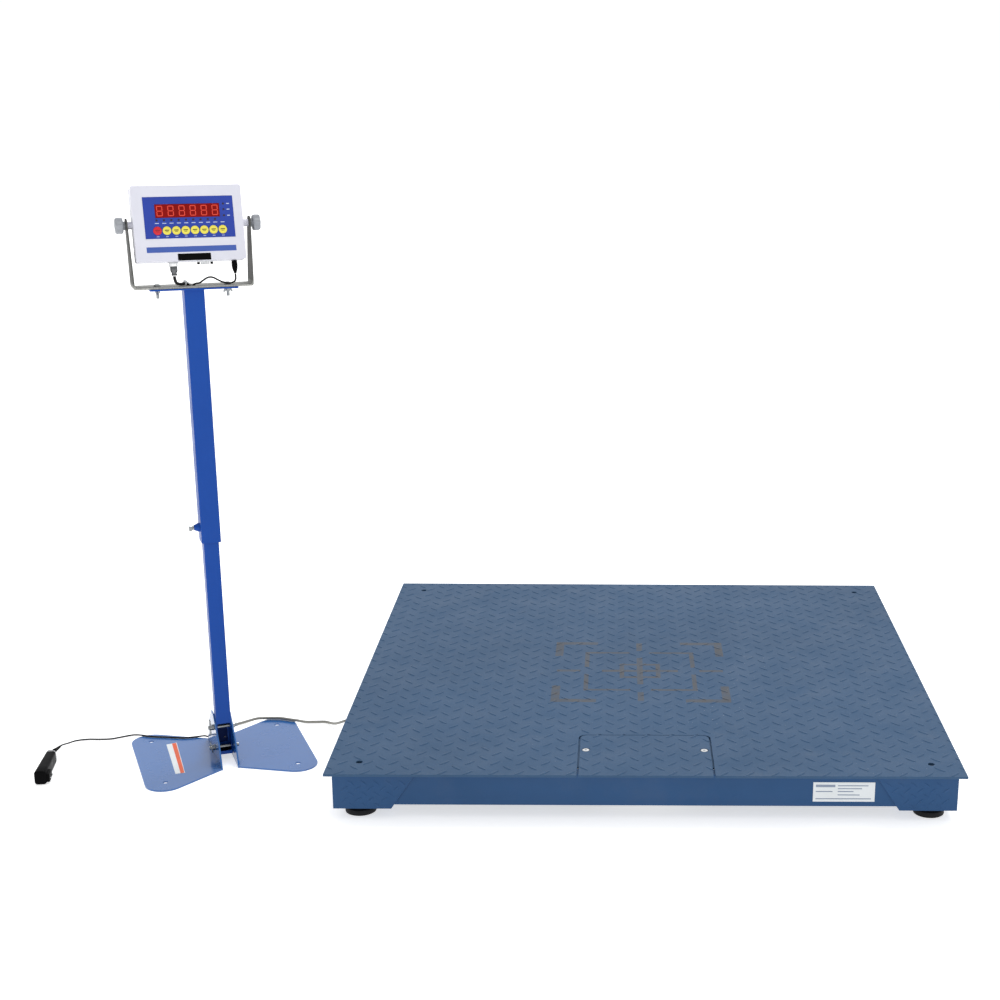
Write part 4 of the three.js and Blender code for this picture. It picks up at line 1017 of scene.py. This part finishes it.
def make_adapter():
    """A tapered body with rounded edges, a groove and a band, a ribbed strain relief and a blade block."""
    front, back = 3.5, 115.5

    def loft(rings):
        """A body that tapers from front to back, from [(place, inset of its outline)]."""
        bm = bmesh.new()
        loops = []
        for y, inset in rings:
            f = (min(max(y, front), back) - front) / (back - front)
            wide, high, corner = (24 - 5 * f) / 2, (29 - 1.5 * f) / 2, 6.5 - 1.5 * f
            points = rounded_outline(wide - inset, high - inset, corner - inset, 0, high + 0.2)
            loops.append([bm.verts.new((x, y, z)) for x, z in points])
        return bridge(bm, loops)

    rings = [(0, 3.5), (0.4, 1.9), (1.4, 0.7), (3.5, 0), (30, 0), (60, 0), (95, 0), (103.2, 0), (103.6, 0.7),
             (104.6, 0.7), (105, 0), (115.5, 0), (117.6, 0.7), (118.6, 1.9), (119, 3.5)]
    to_adapter("adapter_body", loft(rings), "black", replaces=("power_adapter",))
    base, tip = Vector((5.6, 115, 24.9)), Vector((9.3, 156.2, 18))
    along = (tip - base).normalized()
    length = (tip - base).length
    profile = [(0, 0), (4.5, 0), (4.5, 3)]
    for k in range(7):
        y = 5 + k * 4.6
        r = 4.5 - 2.1 * (y / length)
        profile += [(r - 0.7, y - 1.1), (r - 0.7, y - 0.4), (r, y), (r - 0.15, y + 2.6)]
    profile += [(2.5, length - 1.5), (2.3, length), (0, length)]
    relief = lathe(profile, "z", (0, 0), 24)
    relief.transform(Matrix.Translation(base) @ turned_to(along))
    to_adapter("adapter_strain_relief", relief, "black")
    block = box((8, 17.4), (3.1, 29.9), (4.1, 21.9), 1.6, 3)
    to_adapter("adapter_blade_block", block, "black")
    blades = [box((17, 21.9), (y - 3.1, y + 3.1), (11.75, 13.25), 0.3) for y in (9.5, 22.2)]
    to_adapter("adapter_blades", merged(*blades), "silver")
    # A raised band near the cord end; its light grey colour is a painted reflection of the glossy black end.
    band = loft([(107.5, 0.1), (107.8, -0.15), (112.6, -0.15), (113, 0.1)])
    to_adapter("adapter_band", band, "grey_gloss")


make_face()
make_housing_trim()
make_ports()
make_knobs()
make_tie()
make_adapter()


# --- floor, light, background
def make_stage():
    mesh = bpy.data.meshes.new("floor")
    size = 60.0
    mesh.from_pydata([(-size, -size, 0), (size, -size, 0), (size, size, 0), (-size, size, 0)], [],
                     [(0, 1, 2, 3)])
    floor = bpy.data.objects.new("floor", mesh)
    scene.collection.objects.link(floor)
    n = Nodes("floor_white")
    n.set(Base_Color=n.mix(n.spread(n.noise(0.5, 2), 0.3, 0.7), (0.8, 0.8, 0.8, 1), (0.82, 0.82, 0.82, 1)),
          Roughness=0.9, Specular_IOR_Level=0.1, Emission_Color=(1, 1, 1, 1), Emission_Strength=0.6)
    mesh.materials.append(n.material)
    floor.location.z = -0.0004

    # A white room: bright overhead, behind the object and along the horizon, dimmer in front and at the left.
    world = bpy.data.worlds.new("studio")
    scene.world = world
    world.use_nodes = True
    n = Tree(world.node_tree, "Generated")
    background = n.tree.nodes["Background"]
    background.inputs[0].default_value = (0.98, 0.99, 1, 1)
    x, y, z = n.axes()
    bright, dim = 1.04, 0.3
    brighter = n.math("MAXIMUM", n.spread(y, -0.7, 0.2, dim, bright), n.spread(z, 0.35, 0.95, dim, bright))
    room = n.math("MULTIPLY", brighter, n.spread(x, -0.95, -0.35, dim, 1.0))
    horizon = n.spread(n.math("ABSOLUTE", z), 0.28, 0.45, bright, 0.0)
    n.put(background.inputs[1], n.math("MAXIMUM", room, horizon))

    light = bpy.data.lights.new("sun", "SUN")
    light.energy = 1.3
    light.angle = math.radians(22)
    sun = bpy.data.objects.new("sun", light)
    sun.rotation_euler = Vector((-0.35, -0.75, -2.2)).to_track_quat("-Z", "Y").to_euler()
    scene.collection.objects.link(sun)
    scene.view_settings.view_transform = "Standard"
    scene.view_settings.look = "None"


make_stage()
